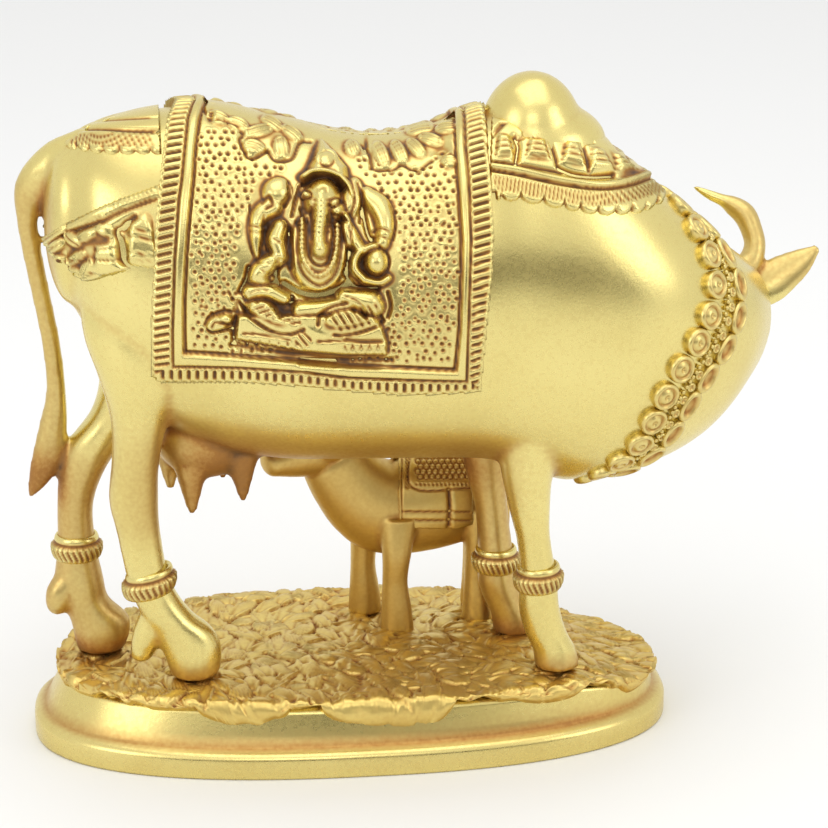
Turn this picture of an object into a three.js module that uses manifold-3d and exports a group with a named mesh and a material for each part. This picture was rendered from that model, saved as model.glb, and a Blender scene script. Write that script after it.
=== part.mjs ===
// A brass cow with her suckling calf on an oval grassy mound, in three castings: mound, cow and calf.
// Millimetres, +Z up, +X towards the cow's chest, -Y the side that carries the seated figure.
// The origin is on the underside, in the middle of the oval foot.

import * as THREE from "three";
import { mergeVertices } from "three/addons/utils/BufferGeometryUtils.js";
import Module from "manifold-3d";

const wasm = await Module();
wasm.setup();

// Driving sizes.
const FOOT_LENGTH = 162; // the oval foot, along X
const FOOT_WIDTH = 79.6;
const FOOT_ROUNDNESS = 2.45; // exponent of the oval, 2 is an ellipse
const MOUND_TOP = 20; // height of the turf under the hooves
const COW_Y = -9; // the cow's mid-plane
const SEAT_GAP = 0.3; // joint between a hoof and the turf
const SINK = 1.5; // how deep a hoof is modelled into the turf before it is cut back to it

// Facets round each kind of form.
const TRUNK_SIDES = 26;
const LIMB_SIDES = 10;
const TAIL_SIDES = 7;
const HEAD_SIDES = 16;

const NEAR = [0, -1, 0]; // from the mid-plane to the side with the seated figure
const DOWN = [0, 0, -1];
const FORWARD = [1, 0, 0];

const vector = (row) => new THREE.Vector3(...row);
const curve = (rows) => new THREE.CatmullRomCurve3(rows.map(vector), false, "catmullrom", 0.5);

// Merged, position-only geometry as a solid that can be joined and cut.
function solid(geometry) {
  const bare = geometry.clone();
  bare.deleteAttribute("normal");
  bare.deleteAttribute("uv");
  const merged = mergeVertices(bare, 1e-4);
  return new wasm.Manifold(
    new wasm.Mesh({
      numProp: 3,
      vertProperties: merged.attributes.position.array,
      triVerts: new Uint32Array(merged.index.array),
    }),
  );
}

const join = (solids) => solids.reduce((all, one) => all.add(one));

function geometryOf(body) {
  const mesh = body.getMesh();
  const positions = new Float32Array(mesh.numVert * 3);
  for (let i = 0; i < mesh.numVert; i++)
    positions.set(mesh.vertProperties.subarray(i * mesh.numProp, i * mesh.numProp + 3), i * 3);
  const geometry = new THREE.BufferGeometry();
  geometry.setAttribute("position", new THREE.BufferAttribute(positions, 3));
  geometry.setIndex(new THREE.BufferAttribute(mesh.triVerts, 1));
  return geometry;
}

// The ring of a form at share t of its length: centre, the two half axes and the way it faces.
function ringAt(form, t) {
  const centre = form.centres.getPoint(t);
  const size = form.sizes.getPoint(t);
  const facing = form.facings ? form.facings.getPoint(t).normalize() : form.centres.getTangent(t);
  const side = vector(form.side ?? NEAR);
  side.addScaledVector(facing, -side.dot(facing)).normalize();
  const up = new THREE.Vector3().crossVectors(side, facing);
  return { centre, facing, side, up, deep: size.x, wide: size.y };
}

// A limb or trunk through stations of [x, y, z, half depth, half width], round or fuller than round.
function form(stations, options = {}) {
  const { facings } = options;
  const rows = facings && typeof facings[0] === "number" ? stations.map(() => facings) : facings;
  return {
    ...options,
    count: stations.length,
    centres: curve(stations.map(([x, y, z]) => [x, y, z])),
    sizes: curve(stations.map(([, , , deep, wide]) => [deep, wide, 0])),
    facings: rows && curve(rows),
  };
}

// A point on a ring at an angle from its upper side, towards its near side, raised by grow.
function ringPoint(ring, angle, grow = 0, fullness = 2) {
  const bulge = (value) => Math.sign(value) * Math.abs(value) ** (2 / fullness);
  return ring.centre
    .clone()
    .addScaledVector(ring.up, (ring.deep + grow) * bulge(Math.cos(angle)))
    .addScaledVector(ring.side, (ring.wide + grow) * bulge(Math.sin(angle)));
}

// The closed skin of a form, with a dome of a given length on each end.
function skin(shape, grow = 0) {
  const { sides = LIMB_SIDES, steps = 1, domes = [0, 0], fullness = 2 } = shape;
  const last = (shape.count - 1) * steps;
  const rings = Array.from({ length: last + 1 }, (_, i) => ringAt(shape, i / last));
  const domeRings = (ring, length, way) =>
    [0.5, 0.85].map((share) => {
      const shrink = Math.sqrt(1 - share * share);
      return {
        ...ring,
        centre: ring.centre.clone().addScaledVector(ring.facing, way * length * share),
        deep: (ring.deep + grow) * shrink - grow,
        wide: (ring.wide + grow) * shrink - grow,
      };
    });
  const [startDome, endDome] = domes.map((length) => (length ? length + grow : 0));
  const all = [
    ...(startDome ? domeRings(rings[0], startDome, -1).reverse() : []),
    ...rings,
    ...(endDome ? domeRings(rings[last], endDome, 1) : []),
  ];
  const points = all.flatMap((ring) =>
    Array.from({ length: sides }, (_, k) => ringPoint(ring, (2 * Math.PI * k) / sides, grow, fullness)),
  );
  const tip = (ring, length, way) => ring.centre.clone().addScaledVector(ring.facing, way * length);
  points.push(tip(rings[0], startDome, -1), tip(rings[last], endDome, 1));
  const [tail, nose] = [points.length - 2, points.length - 1];
  const index = [];
  for (let k = 0; k < sides; k++) {
    const next = (k + 1) % sides;
    index.push(tail, next, k);
    for (let i = 0; i + 1 < all.length; i++) {
      const [a, b] = [i * sides + k, i * sides + next];
      index.push(a, b, a + sides, b, b + sides, a + sides);
    }
    const end = (all.length - 1) * sides;
    index.push(nose, end + k, end + next);
  }
  const geometry = new THREE.BufferGeometry().setFromPoints(points);
  geometry.setIndex(index);
  return geometry;
}

const limb = (stations, options) => solid(skin(form(stations, options)));

// An ellipsoid with its half sizes, turned by Euler angles in degrees.
function blob(centre, half, turn = [0, 0, 0], segments = [10, 7]) {
  const geometry = new THREE.SphereGeometry(1, ...segments);
  geometry.scale(...half);
  turn.forEach((degrees, axis) => {
    const spin = THREE.MathUtils.degToRad(degrees);
    [geometry.rotateX, geometry.rotateY, geometry.rotateZ][axis].call(geometry, spin);
  });
  geometry.translate(...centre);
  return solid(geometry);
}

// The mound: a flanged oval foot, a plain wall and a turf top whose edge hangs down in tufts.
const MOUND_SIDES = 48;
const TURF_TUFTS = [
  // angle round the oval in degrees, half width in degrees, drop below the wall's top
  [232, 12, 1.5],
  [251, 9, 6],
  [274, 9, 8],
  [302, 11, 3],
  [330, 9, 2.5],
  [15, 12, 2],
  [52, 12, 4],
  [88, 13, 5],
  [124, 12, 4],
  [160, 13, 3],
  [200, 12, 2],
];

function ovalPoint(angle, inset, z) {
  const bulge = (value) => Math.sign(value) * Math.abs(value) ** (2 / FOOT_ROUNDNESS);
  return new THREE.Vector3(
    (FOOT_LENGTH / 2 - inset) * bulge(Math.cos(angle)),
    (FOOT_WIDTH / 2 - inset) * bulge(Math.sin(angle)),
    z,
  );
}

function tuftDrop(angle) {
  const degrees = THREE.MathUtils.radToDeg(angle);
  return Math.max(
    ...TURF_TUFTS.map(([at, half, drop]) => {
      const away = Math.abs(((degrees - at + 540) % 360) - 180) / half;
      return away < 1 ? drop * Math.sqrt(1 - away * away) : 0;
    }),
  );
}

// Height of the turf at a share of the way in from its edge, 0, to the middle, 1.
function turfHeight(point, share) {
  const rightFall = THREE.MathUtils.smoothstep(point.x + 0.3 * point.y, 42, 76) * 5;
  const leftFall = THREE.MathUtils.smoothstep(-point.x, 70, 80) * 1.6;
  const farRise = THREE.MathUtils.smoothstep(point.y - 0.25 * point.x, 18, 36) * 2.2;
  const waves = 0.5 * Math.sin(point.x / 6) * Math.cos(point.y / 5 + point.x / 17);
  return MOUND_TOP + farRise - rightFall - leftFall - 1.6 * (1 - share) ** 2 + waves * Math.min(1, 2 * share);
}

// The wall leans further in at the cow's tail than at her chest.
const wallLean = (angle) => 1 - 0.35 * Math.cos(angle);

function moundSolid() {
  const wall = [
    // inset from the widest oval, height
    [0.6, 0],
    [0, 0.8],
    [0, 5],
    [1.2, 6.6],
    [2.8, 7.2],
    [3.4, 8.6],
  ];
  const lipInset = 5.2;
  const turfShares = [0, 0.2, 0.6];
  const rings = wall.map(([inset, z]) => (angle) => ovalPoint(angle, inset, z));
  const edge = (angle) => turfHeight(ovalPoint(angle, lipInset, 0), 0) - 1.2 - tuftDrop(angle);
  rings.push((angle) => ovalPoint(angle, lipInset * wallLean(angle), edge(angle)));
  rings.push((angle) => ovalPoint(angle, lipInset * wallLean(angle) - 1.3, edge(angle) + 0.5));
  for (const share of turfShares)
    rings.push((angle) => {
      const rim = ovalPoint(angle, lipInset * wallLean(angle) + 0.9, 0);
      const point = rim.multiplyScalar(1 - share);
      point.z = turfHeight(point, share);
      return point;
    });
  const points = rings.flatMap((ring) =>
    Array.from({ length: MOUND_SIDES }, (_, k) => ring((2 * Math.PI * k) / MOUND_SIDES)),
  );
  points.push(new THREE.Vector3(0, 0, 0), new THREE.Vector3(0, 0, MOUND_TOP));
  const [under, top] = [points.length - 2, points.length - 1];
  const index = [];
  for (let k = 0; k < MOUND_SIDES; k++) {
    const next = (k + 1) % MOUND_SIDES;
    index.push(under, next, k);
    for (let i = 0; i + 1 < rings.length; i++) {
      const [a, b] = [i * MOUND_SIDES + k, i * MOUND_SIDES + next];
      index.push(a, b, a + MOUND_SIDES, b, b + MOUND_SIDES, a + MOUND_SIDES);
    }
    const end = (rings.length - 1) * MOUND_SIDES;
    index.push(top, end + k, end + next);
  }
  const geometry = new THREE.BufferGeometry().setFromPoints(points);
  geometry.setIndex(index);
  return solid(geometry);
}

// The cow's trunk runs on into the neck, which turns away from the near side.
const TRUNK = form(
  [
    [-67, COW_Y, 133.5, 19.5, 14],
    [-59, COW_Y, 128.5, 28.5, 21.5],
    [-46, COW_Y, 122, 38, 26],
    [-33, COW_Y, 119, 41.5, 28.5],
    [-18, COW_Y, 115.5, 41.3, 30],
    [0, COW_Y, 113, 39.5, 30.5],
    [16, COW_Y, 113, 40, 30],
    [32, COW_Y, 115, 43, 29],
    [44, COW_Y, 112.5, 44.5, 27.5],
    [55, COW_Y, 109, 43.6, 26],
    [66, -8, 103.4, 36.6, 24],
    [75, -4, 98, 32.6, 22],
    [84, 3, 95.4, 27.6, 20],
    [90, 12, 95.4, 22.6, 18],
  ],
  {
    facings: [
      FORWARD,
      FORWARD,
      FORWARD,
      FORWARD,
      FORWARD,
      FORWARD,
      FORWARD,
      FORWARD,
      FORWARD,
      [0.99, 0.08, -0.06],
      [0.93, 0.28, -0.18],
      [0.83, 0.49, -0.26],
      [0.66, 0.7, -0.26],
      [0.45, 0.85, -0.26],
    ],
    sides: TRUNK_SIDES,
    steps: 1,
    domes: [6, 4],
    fullness: 2.1,
  },
);

const hump = () => [
  blob([43.4, COW_Y, 152.4], [12.4, 12.4, 15.2], [0, 0, 0], [12, 7]),
  blob([44.5, COW_Y, 149.5], [17.5, 17.5, 10.5], [0, 0, 0], [12, 6]),
];

// Cloths and straps follow a body: the body grown by the cloth's thickness, kept inside an
// outline of [x, z] points that is carried through its whole width or, from nearOf on, its near side.
function draped(body, thickness, outline, nearOf) {
  const shape = new THREE.Shape(outline.map(([x, z]) => new THREE.Vector2(x, z)));
  const across = 100;
  const prism = new THREE.ExtrudeGeometry(shape, { depth: across, bevelEnabled: false });
  prism.rotateX(Math.PI / 2).translate(0, nearOf ?? across / 2, 0);
  return solid(skin(body, thickness)).intersect(solid(prism));
}

const onTrunk = (thickness, outline, nearOf) => draped(TRUNK, thickness, outline, nearOf);

// A hanging edge of half-round scallops through [x, z] corners, as one row of points.
function scallops(corners, drop) {
  return corners.slice(0, -1).flatMap(([x, z], i) => {
    const [endX, endZ] = corners[i + 1];
    return [0.04, 0.5, 0.96].map((share) => [
      x + (endX - x) * share,
      z + (endZ - z) * share - (share === 0.5 ? drop : 0),
    ]);
  });
}

const OVER_BACK = 185; // height above the back, where an outline closes

// The saddle cloth: the outer and the inner edge of its raised border, as [x, z, x, z].
const CLOTH_BORDER = [
  [-40.5, OVER_BACK, -35.5, OVER_BACK],
  [-41.5, 161, -36.6, 160],
  [-45.7, 143.6, -38.2, 143.7],
  [-48, 121, -39.8, 121.2],
  [-48.8, 99.8, -40.3, 107],
  [-14.6, 100, -14.6, 106],
  [8.8, 98.7, 8.8, 105.2],
  [28.6, 96.5, 22, 104.6],
  [30, 119.6, 22.6, 119.9],
  [31, 142, 24, 142],
  [29.5, 157, 24.4, 155.5],
  [28.5, OVER_BACK, 23.5, OVER_BACK],
];

function saddleCloth() {
  const outer = CLOTH_BORDER.map(([x, z]) => [x, z]);
  const inner = CLOTH_BORDER.map(([, , x, z]) => [x, z]);
  const middle = CLOTH_BORDER.map(([x1, z1, x2, z2]) => [(x1 + x2) / 2, (z1 + z2) / 2]);
  return [onTrunk(1.5, middle), onTrunk(2.5, [...outer, ...inner.toReversed()])];
}

const PEDESTAL = [
  [-29.6, 107.4],
  [6.4, 106.8],
  [6.4, 114.8],
  [-29.6, 115.4],
];

// The seated elephant-headed figure on the near side of the cloth.
function seatedFigure() {
  const arm = (rows) => limb(rows, { sides: 6, domes: [1.8, 1.8], side: FORWARD });
  return [
    blob([-7.2, -20.4, 151.4], [6, 5.4, 6.4], [30, 0, 0], [8, 5]),
    blob([-7.6, -28.4, 144.4], [7, 6.4, 5.8], [15, 0, 0], [8, 5]),
    blob([-17, -29, 142.6], [4, 4.2, 7.4], [18, 16, 0], [7, 5]),
    blob([2.4, -28.4, 142], [4.2, 4.2, 7.4], [18, -16, 0], [7, 5]),
    blob([-9.6, -34.6, 130.5], [10.4, 7, 9.4], [10, 0, 0], [9, 6]),
    arm([
      [-8.4, -34.2, 143, 3, 3],
      [-9.4, -38.8, 136, 2.6, 2.6],
      [-9.8, -42, 130.4, 2.2, 2.2],
      [-7, -42.4, 127.2, 1.8, 1.8],
    ]),
    arm([
      [-19.6, -33.5, 138.5, 3.8, 3.8],
      [-23, -37, 131, 3.6, 3.6],
      [-19.4, -39.8, 125, 3, 3],
    ]),
    arm([
      [1.2, -33.5, 137.5, 3.8, 3.8],
      [5.4, -36.8, 131, 3.8, 3.8],
      [2.4, -39.2, 126.4, 3, 3],
    ]),
    blob([-20, -38.4, 119.6], [10.6, 5, 4.8], [0, -12, 0], [9, 5]),
    blob([-2.6, -39, 119.2], [10.4, 5, 4.8], [0, 12, 0], [9, 5]),
    blob([-33.4, -37.4, 115.4], [3.6, 3.4, 2.6], [0, 0, 0], [6, 4]),
    onTrunk(4.2, PEDESTAL, COW_Y),
  ];
}

const SHOULDER_EDGE = [
  [31.4, 143],
  [37.4, 142.4],
  [43.4, 141],
  [49.2, 139.6],
  [55, 138.4],
  [61, 137.2],
  [67.2, 137.4],
  [73.6, 138.6],
];
const RUMP_EDGE = [
  [-68.4, 152.6],
  [-62.6, 152.8],
  [-56.8, 153.1],
  [-51, 153.3],
  [-45.4, 153.4],
];

// Straps in relief: over the shoulders below the hump, over the rump, and round the buttocks.
function straps() {
  return [
    onTrunk(1.7, [...scallops(SHOULDER_EDGE, 1.4), [77, 145], [73, OVER_BACK], [31.4, OVER_BACK]]),
    onTrunk(1.3, [...scallops(RUMP_EDGE, 1.2), [-44, OVER_BACK], [-66, OVER_BACK]]),
    onTrunk(1.6, [
      [-78, 118.6],
      [-69.6, 119.4],
      [-62.4, 122.4],
      [-55.3, 126.6],
      [-47.4, 129.2],
      [-45.6, 146],
      [-54.8, 143.4],
      [-61.7, 140],
      [-71.4, 132.9],
      [-78, 129],
    ]),
  ];
}

// The garland of round discs hangs along the neck, lower on the chest than behind the horns.
const GARLAND_DISCS = 23;
const GARLAND_PITCH = 360 / GARLAND_DISCS;
const garlandShare = (angle) => 0.77 + 0.035 * Math.cos(angle) + 0.04 * Math.abs(Math.sin(angle));

function garland() {
  const heart = TRUNK.centres.getPoint(0.79);
  return Array.from({ length: GARLAND_DISCS }, (_, i) => {
    const angle = THREE.MathUtils.degToRad((i + 0.5) * GARLAND_PITCH);
    const centre = ringPoint(ringAt(TRUNK, garlandShare(angle)), angle, 0, TRUNK.fullness);
    const outward = centre.clone().sub(heart).normalize();
    const disc = new THREE.ConeGeometry(4.6, 4.4, 7);
    disc.applyQuaternion(
      new THREE.Quaternion().setFromUnitVectors(new THREE.Vector3(0, 1, 0), outward),
    );
    return solid(disc.translate(...centre.addScaledVector(outward, 0.2)));
  });
}

const NEAR_LEG_Y = COW_Y - 12;
const FAR_LEG_Y = COW_Y + 12;
const GROUND = MOUND_TOP - SINK;

// The far foreleg stands a little behind the near one and its anklet sits lower.
function foreleg(y, shift, lift) {
  const at = (x, z, deep, wide) => [x + shift, y, z, deep, wide];
  return [
    at(47, 108, 14, 8),
    at(45, 94, 12, 9),
    at(42.5, 82, 8.5, 8),
    at(41.7, 71, 6.4, 6.5),
    at(42.6, 60, 4.9, 5),
    at(43.6, 53, 4.2, 4.6),
    ...anklet([44.9 + shift, y, 43.5 + lift], 6.1, 6.2),
    at(45.2, 35.2 + lift / 4, 5.1, 5),
    at(46.8, 29, 5.3, 4.8),
    at(49.2, 24, 5.4, 5),
    at(50, GROUND, 5.8, 5.6),
  ];
}

const hoofed = { facings: DOWN, sides: LIMB_SIDES };

// The stations of an anklet round a leg, from its upper edge down.
function anklet([x, y, z], deep, wide) {
  const half = 3.1;
  return [
    [x, y, z + half + 0.4, deep - 1.7, wide - 1.5],
    [x, y, z + half, deep - 0.4, wide - 0.4],
    [x, y, z, deep, wide],
    [x, y, z - half, deep - 0.4, wide - 0.4],
    [x, y, z - half - 0.4, deep - 1.5, wide - 1.5],
  ];
}

function nearHindLeg() {
  return [
    limb(
      [
        [-50, -18, 124, 15, 8],
        [-48.5, -20, 110, 16.2, 11],
        [-49.5, -20.5, 99, 12, 10.5],
        [-51.8, -20, 88, 7.2, 7.6],
        [-53.3, -19, 77, 5.8, 6.2],
        [-54.1, -18, 67, 6, 5.8],
        [-53.2, -17.5, 58, 5.3, 5.2],
        ...anklet([-51, -17, 44.9], 6.6, 6.4),
        [-47.2, -17, 36.5, 6.2, 5.2],
        [-43.4, -17, 32.2, 7.2, 5.2],
        [-41.2, -17, 27.5, 7.2, 5.2],
        [-40.5, -17, GROUND + 2.5, 6, 5.2],
        [-40.5, -17, GROUND, 5.2, 5],
      ],
      hoofed,
    ),
    limb(
      [
        [-49, -16, 38, 4, 4],
        [-51.5, -15.5, 31, 4, 4],
        [-53.5, -15, 24.5, 3, 3.4],
      ],
      { facings: DOWN, sides: 8, domes: [0, 1.5] },
    ),
  ];
}

function farHindLeg() {
  return [
    limb(
      [
        [-49, 1, 120, 13, 8],
        [-48, 2, 104, 14, 10],
        [-51, 3, 92, 10.5, 9],
        [-56.5, 3, 83, 7.4, 7],
        [-62.8, 3, 75, 7, 6],
        [-66.8, 3, 67, 5.6, 5.2],
        [-68.8, 3, 58, 4.5, 4.6],
        ...anklet([-68.8, 3, 47.4], 6.3, 6.1),
        [-68.6, 3, 38.5, 6.2, 5.4],
        [-67.4, 3, 33, 6.1, 5.2],
        [-64, 3, 28, 7.4, 5.4],
        [-63.4, 3, 24, 7.2, 5.6],
        [-63.8, 3, GROUND, 6, 5.6],
      ],
      hoofed,
    ),
    blob([-73.6, 1, 35], [3.6, 3.6, 5.6], [0, 14, 0], [8, 6]),
  ];
}

const TAIL = form(
  [
    [-62, COW_Y, 148, 9, 6],
    [-69.5, -8, 147, 6, 5],
    [-75.6, -6.5, 141.5, 4.2, 3.8],
    [-77, -5, 134, 2.6, 2.7],
    [-76.4, -3, 126, 2.4, 2.5],
    [-74.7, -1, 114, 2.3, 2.4],
    [-72.8, 0, 101, 2.3, 2.4],
    [-72.2, 1, 89, 2.5, 2.5],
    [-73.2, 2, 80, 3.5, 3],
    [-75, 2, 72, 3.8, 2.8],
    [-77.4, 2, 66, 2.8, 2.2],
    [-79.6, 2, 61.5, 0.9, 1],
  ],
  { sides: TAIL_SIDES, domes: [0, 0.6] },
);

function udder() {
  const teats = [
    // x, y, height of the tip
    [-27.5, -14, 64],
    [-40, -14, 61],
    [-45, -5, 64.5],
    [-32, -4, 66.5],
  ];
  return [
    blob([-36, COW_Y, 80], [13, 11, 11], [0, 0, 0], [12, 7]),
    ...teats.map(([x, y, tip]) =>
      limb(
        [
          [x, y, tip + 12, 4.2, 4.2],
          [x, y, tip + 6, 2.7, 2.7],
          [x, y, tip, 1, 1],
        ],
        { facings: DOWN, sides: 7 },
      ),
    ),
  ];
}

// The head looks over the far side: its frame has the nose along +X before it is set in place.
const HEAD_PLACE = new THREE.Matrix4().compose(
  new THREE.Vector3(87, 15, 103.5),
  new THREE.Quaternion().setFromEuler(
    new THREE.Euler(
      THREE.MathUtils.degToRad(-7),
      THREE.MathUtils.degToRad(28),
      THREE.MathUtils.degToRad(79),
      "ZYX",
    ),
  ),
  new THREE.Vector3(1, 1, 1),
);

function headParts() {
  const skull = skin(
    form(
      [
        [-4, 0, -3, 17, 13],
        [4, 0, -4.5, 21.5, 15],
        [13, 0, -7, 23.5, 17],
        [23, 0, -5, 20, 15.5],
        [33, 0, -2, 14.5, 12],
        [42, 0, -1, 11.5, 10.8],
        [48, 0, -1.5, 8.5, 9],
      ],
      { sides: HEAD_SIDES, domes: [3, 4] },
    ),
  );
  const parts = [skull];
  for (const way of [-1, 1]) {
    parts.push(
      skin(
        form(
          [
            [1, way * 12, 4, 4.6, 4.6],
            [0.5, way * 17.4, 7.5, 3.4, 3.4],
            [0, way * 19.6, 13, 2.8, 2.8],
            [0, way * 18, 20.4, 3.1, 3.1],
            [0, way * 15, 23.3, 2.6, 2.6],
            [-1, way * 11.4, 25.6, 1.4, 1.4],
            [-2, way * 6, 28.4, 0.7, 0.7],
          ],
          { side: FORWARD, sides: 7 },
        ),
      ),
      skin(
        form(
          [
            [4, way * 14, 2, 5, 2.8],
            [2, way * 21, 2.2, 5.7, 2.5],
            [1, way * 26.6, 4.7, 4.8, 2.1],
            [0, way * 31, 7, 3.4, 1.6],
            [-1, way * 34.8, 9.4, 1.3, 0.8],
          ],
          { side: FORWARD, sides: 6 },
        ),
      ),
      new THREE.SphereGeometry(3.4, 6, 5).translate(22, way * 14.2, 4.5),
    );
  }
  return parts.map((geometry) => solid(geometry.applyMatrix4(HEAD_PLACE)));
}

function cowSolid(turf) {
  const foreNear = limb(foreleg(NEAR_LEG_Y, 0, 0), hoofed);
  const foreFar = limb(foreleg(FAR_LEG_Y, -7.2, -4), hoofed);
  const parts = [
    solid(skin(TRUNK)),
    ...hump(),
    ...saddleCloth(),
    ...seatedFigure(),
    ...straps(),
    ...garland(),
    foreNear,
    foreFar,
    ...nearHindLeg(),
    ...farHindLeg(),
    solid(skin(TAIL)),
    ...udder(),
    ...headParts(),
  ];
  return join(parts).subtract(turf);
}

// The calf stands beyond the cow's belly and reaches for the udder.
const CALF_TRUNK = form(
  [
    [37, 17.5, 53, 9.5, 6.5],
    [31, 17, 52, 12, 8],
    [21, 16, 50.7, 13, 9],
    [11, 15, 50.6, 13, 9.2],
    [5.5, 14, 53.4, 11.8, 8.8],
    [0.5, 12.5, 58.8, 10, 7.4],
    [-3.5, 11, 65, 8.6, 6],
  ],
  { sides: 12, domes: [3, 3] },
);
const CALF_CLOTH = [
  [14.6, 48],
  [29, 47.5],
  [28.4, 75],
  [15.6, 75],
];
const CALF_LEGS = [
  // x and y of the hoof
  [12.5, 6.5],
  [5.5, 21],
  [34.5, 12.2],
  [35.5, 23],
];

function calfLeg([x, y]) {
  return limb(
    [
      [x + 0.5, y + (15 - y) * 0.25, 50, 5.5, 4.5],
      [x, y, 41, 3.9, 3.6],
      [x - 0.5, y, 33, 3.3, 3.2],
      [x - 0.2, y, 26, 3.9, 3.7],
      [x, y, GROUND, 4.5, 4.2],
    ],
    { facings: DOWN, sides: 7 },
  );
}

function calfSolid(turf) {
  const head = limb(
    [
      [-1, 12, 69, 6.6, 5],
      [-8, 10, 69, 7.8, 6],
      [-14, 7, 68.2, 6.2, 5.2],
      [-19.4, 4, 67.4, 4, 4],
    ],
    { sides: 10, domes: [2, 2.5] },
  );
  const tail = limb(
    [
      [38.5, 18.5, 60, 2.2, 2.2],
      [41.6, 19.4, 56, 1.7, 1.7],
      [42.2, 19.8, 48, 1.5, 1.5],
      [41.6, 19.8, 41, 1.9, 1.7],
      [41, 19.8, 36.5, 0.8, 0.8],
    ],
    { sides: 6 },
  );
  const parts = [
    solid(skin(CALF_TRUNK)),
    draped(CALF_TRUNK, 1, CALF_CLOTH),
    head,
    blob([-4.6, 5.4, 69], [4, 1.6, 2.2], [0, 20, 14], [6, 4]),
    blob([-1.4, 17.6, 70.2], [4, 1.6, 2.2], [0, 20, -40], [6, 4]),
    tail,
    ...CALF_LEGS.map(calfLeg),
  ];
  return join(parts).subtract(turf);
}

const BRASS = { color: 0xd9bd62, metalness: 1, roughness: 0.3 };

function casting(name, body) {
  const mesh = new THREE.Mesh(geometryOf(body), new THREE.MeshStandardMaterial(BRASS));
  mesh.name = name;
  return mesh;
}

const mound = moundSolid();
const liftedTurf = solid(geometryOf(mound).translate(0, 0, SEAT_GAP));

const statue = new THREE.Group();
statue.add(casting("mound", mound));
statue.add(casting("cow", cowSolid(liftedTurf)));
statue.add(casting("calf", calfSolid(liftedTurf)));

export default statue;
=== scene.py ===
"""A cast brass cow suckling her calf on an oval grassy mound, dressed piece by piece.

Sizes are in millimetres until a mesh is made. +X runs towards the cow's chest, +Z is up and -Y is
the near side, which carries the seated figure. The relief is laid out in the front view's plane, in
layout units of a quarter of a millimetre, u to the right and v downwards.
"""

import logging
import math
from collections.abc import Callable, Iterator, Sequence
from contextlib import contextmanager
from dataclasses import dataclass, field
from enum import Enum

import bpy
import numpy as np
from mathutils import Euler, Matrix, Vector

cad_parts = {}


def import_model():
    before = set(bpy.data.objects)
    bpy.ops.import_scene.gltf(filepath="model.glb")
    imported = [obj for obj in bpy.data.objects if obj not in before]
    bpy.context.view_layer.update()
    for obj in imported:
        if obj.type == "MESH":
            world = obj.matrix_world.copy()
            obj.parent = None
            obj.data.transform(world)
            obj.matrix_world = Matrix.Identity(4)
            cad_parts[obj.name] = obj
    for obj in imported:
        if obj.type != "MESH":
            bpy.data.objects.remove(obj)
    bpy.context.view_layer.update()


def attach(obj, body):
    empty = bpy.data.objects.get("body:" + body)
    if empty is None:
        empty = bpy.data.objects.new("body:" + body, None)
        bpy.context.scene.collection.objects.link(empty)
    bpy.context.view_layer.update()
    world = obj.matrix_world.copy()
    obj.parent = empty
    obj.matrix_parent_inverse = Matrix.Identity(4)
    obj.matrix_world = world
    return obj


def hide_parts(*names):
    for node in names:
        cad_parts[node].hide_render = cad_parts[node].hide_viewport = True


log = logging.getLogger("statue")

MM = 0.001
COW_Y = -9.0
NEAR = (0.0, -1.0, 0.0)
DOWN = (0.0, 0.0, -1.0)
FORWARD = (1.0, 0.0, 0.0)
# The lacquer attribute holds the brown lacquer in the hollows and, on the cow's body, painted shade and painted
# reflection of the ground under the belly.
LACQUER_AND_SHADE = "lacquer"

Row = Sequence[float]
Rows = Sequence[Row]


# Handling of meshes


def deselect_all() -> None:
    """Leaves object mode with nothing selected."""
    if bpy.context.object and bpy.context.object.mode != "OBJECT":
        bpy.ops.object.mode_set(mode="OBJECT")
    bpy.ops.object.select_all(action="DESELECT")


def select_only(*pieces: bpy.types.Object) -> None:
    """Selects the pieces and makes the first one active."""
    deselect_all()
    for piece in pieces:
        piece.select_set(True)
    bpy.context.view_layer.objects.active = pieces[0]


@contextmanager
def editing(piece: bpy.types.Object) -> Iterator[bpy.types.Mesh]:
    """Edit mode on one piece, with all of it selected."""
    select_only(piece)
    bpy.ops.object.mode_set(mode="EDIT")
    bpy.ops.mesh.select_all(action="SELECT")
    yield piece.data
    bpy.ops.object.mode_set(mode="OBJECT")


def take_primitive(name: str) -> bpy.types.Object:
    """Names the primitive that was just added and returns it."""
    piece = bpy.context.object
    piece.name = name
    piece.data.name = name
    return piece


def apply_modifier(piece: bpy.types.Object, kind: str, **settings: object) -> None:
    """Adds a modifier, sets it and applies it.

    Args:
        piece: The object that gets it.
        kind: The modifier's type.
        **settings: Its properties by name.
    """
    select_only(piece)
    modifier = piece.modifiers.new(kind.title(), kind)
    for key, value in settings.items():
        setattr(modifier, key, value)
    bpy.ops.object.modifier_apply(modifier=modifier.name)


def points_of(piece: bpy.types.Object) -> np.ndarray:
    """The piece's vertices in millimetres."""
    places = np.empty(len(piece.data.vertices) * 3)
    piece.data.vertices.foreach_get("co", places)
    return places.reshape(-1, 3) / MM


def set_points(piece: bpy.types.Object, points: np.ndarray) -> None:
    """Moves the piece's vertices to points given in millimetres."""
    piece.data.vertices.foreach_set("co", np.ascontiguousarray(points * MM).ravel())
    piece.data.update()


def turn_out(piece: bpy.types.Object) -> None:
    """Makes all faces of a closed piece point outwards."""
    with editing(piece):
        bpy.ops.mesh.normals_make_consistent(inside=False)


def smooth_shading(piece: bpy.types.Object) -> None:
    """Shades the piece smooth all over."""
    select_only(piece)
    bpy.ops.object.shade_smooth()


def joined(name: str, parts: Sequence[bpy.types.Object]) -> bpy.types.Object:
    """Joins the parts in one object of that name."""
    select_only(*parts)
    if len(parts) > 1:
        bpy.ops.object.join()
    return take_primitive(name)


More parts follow.
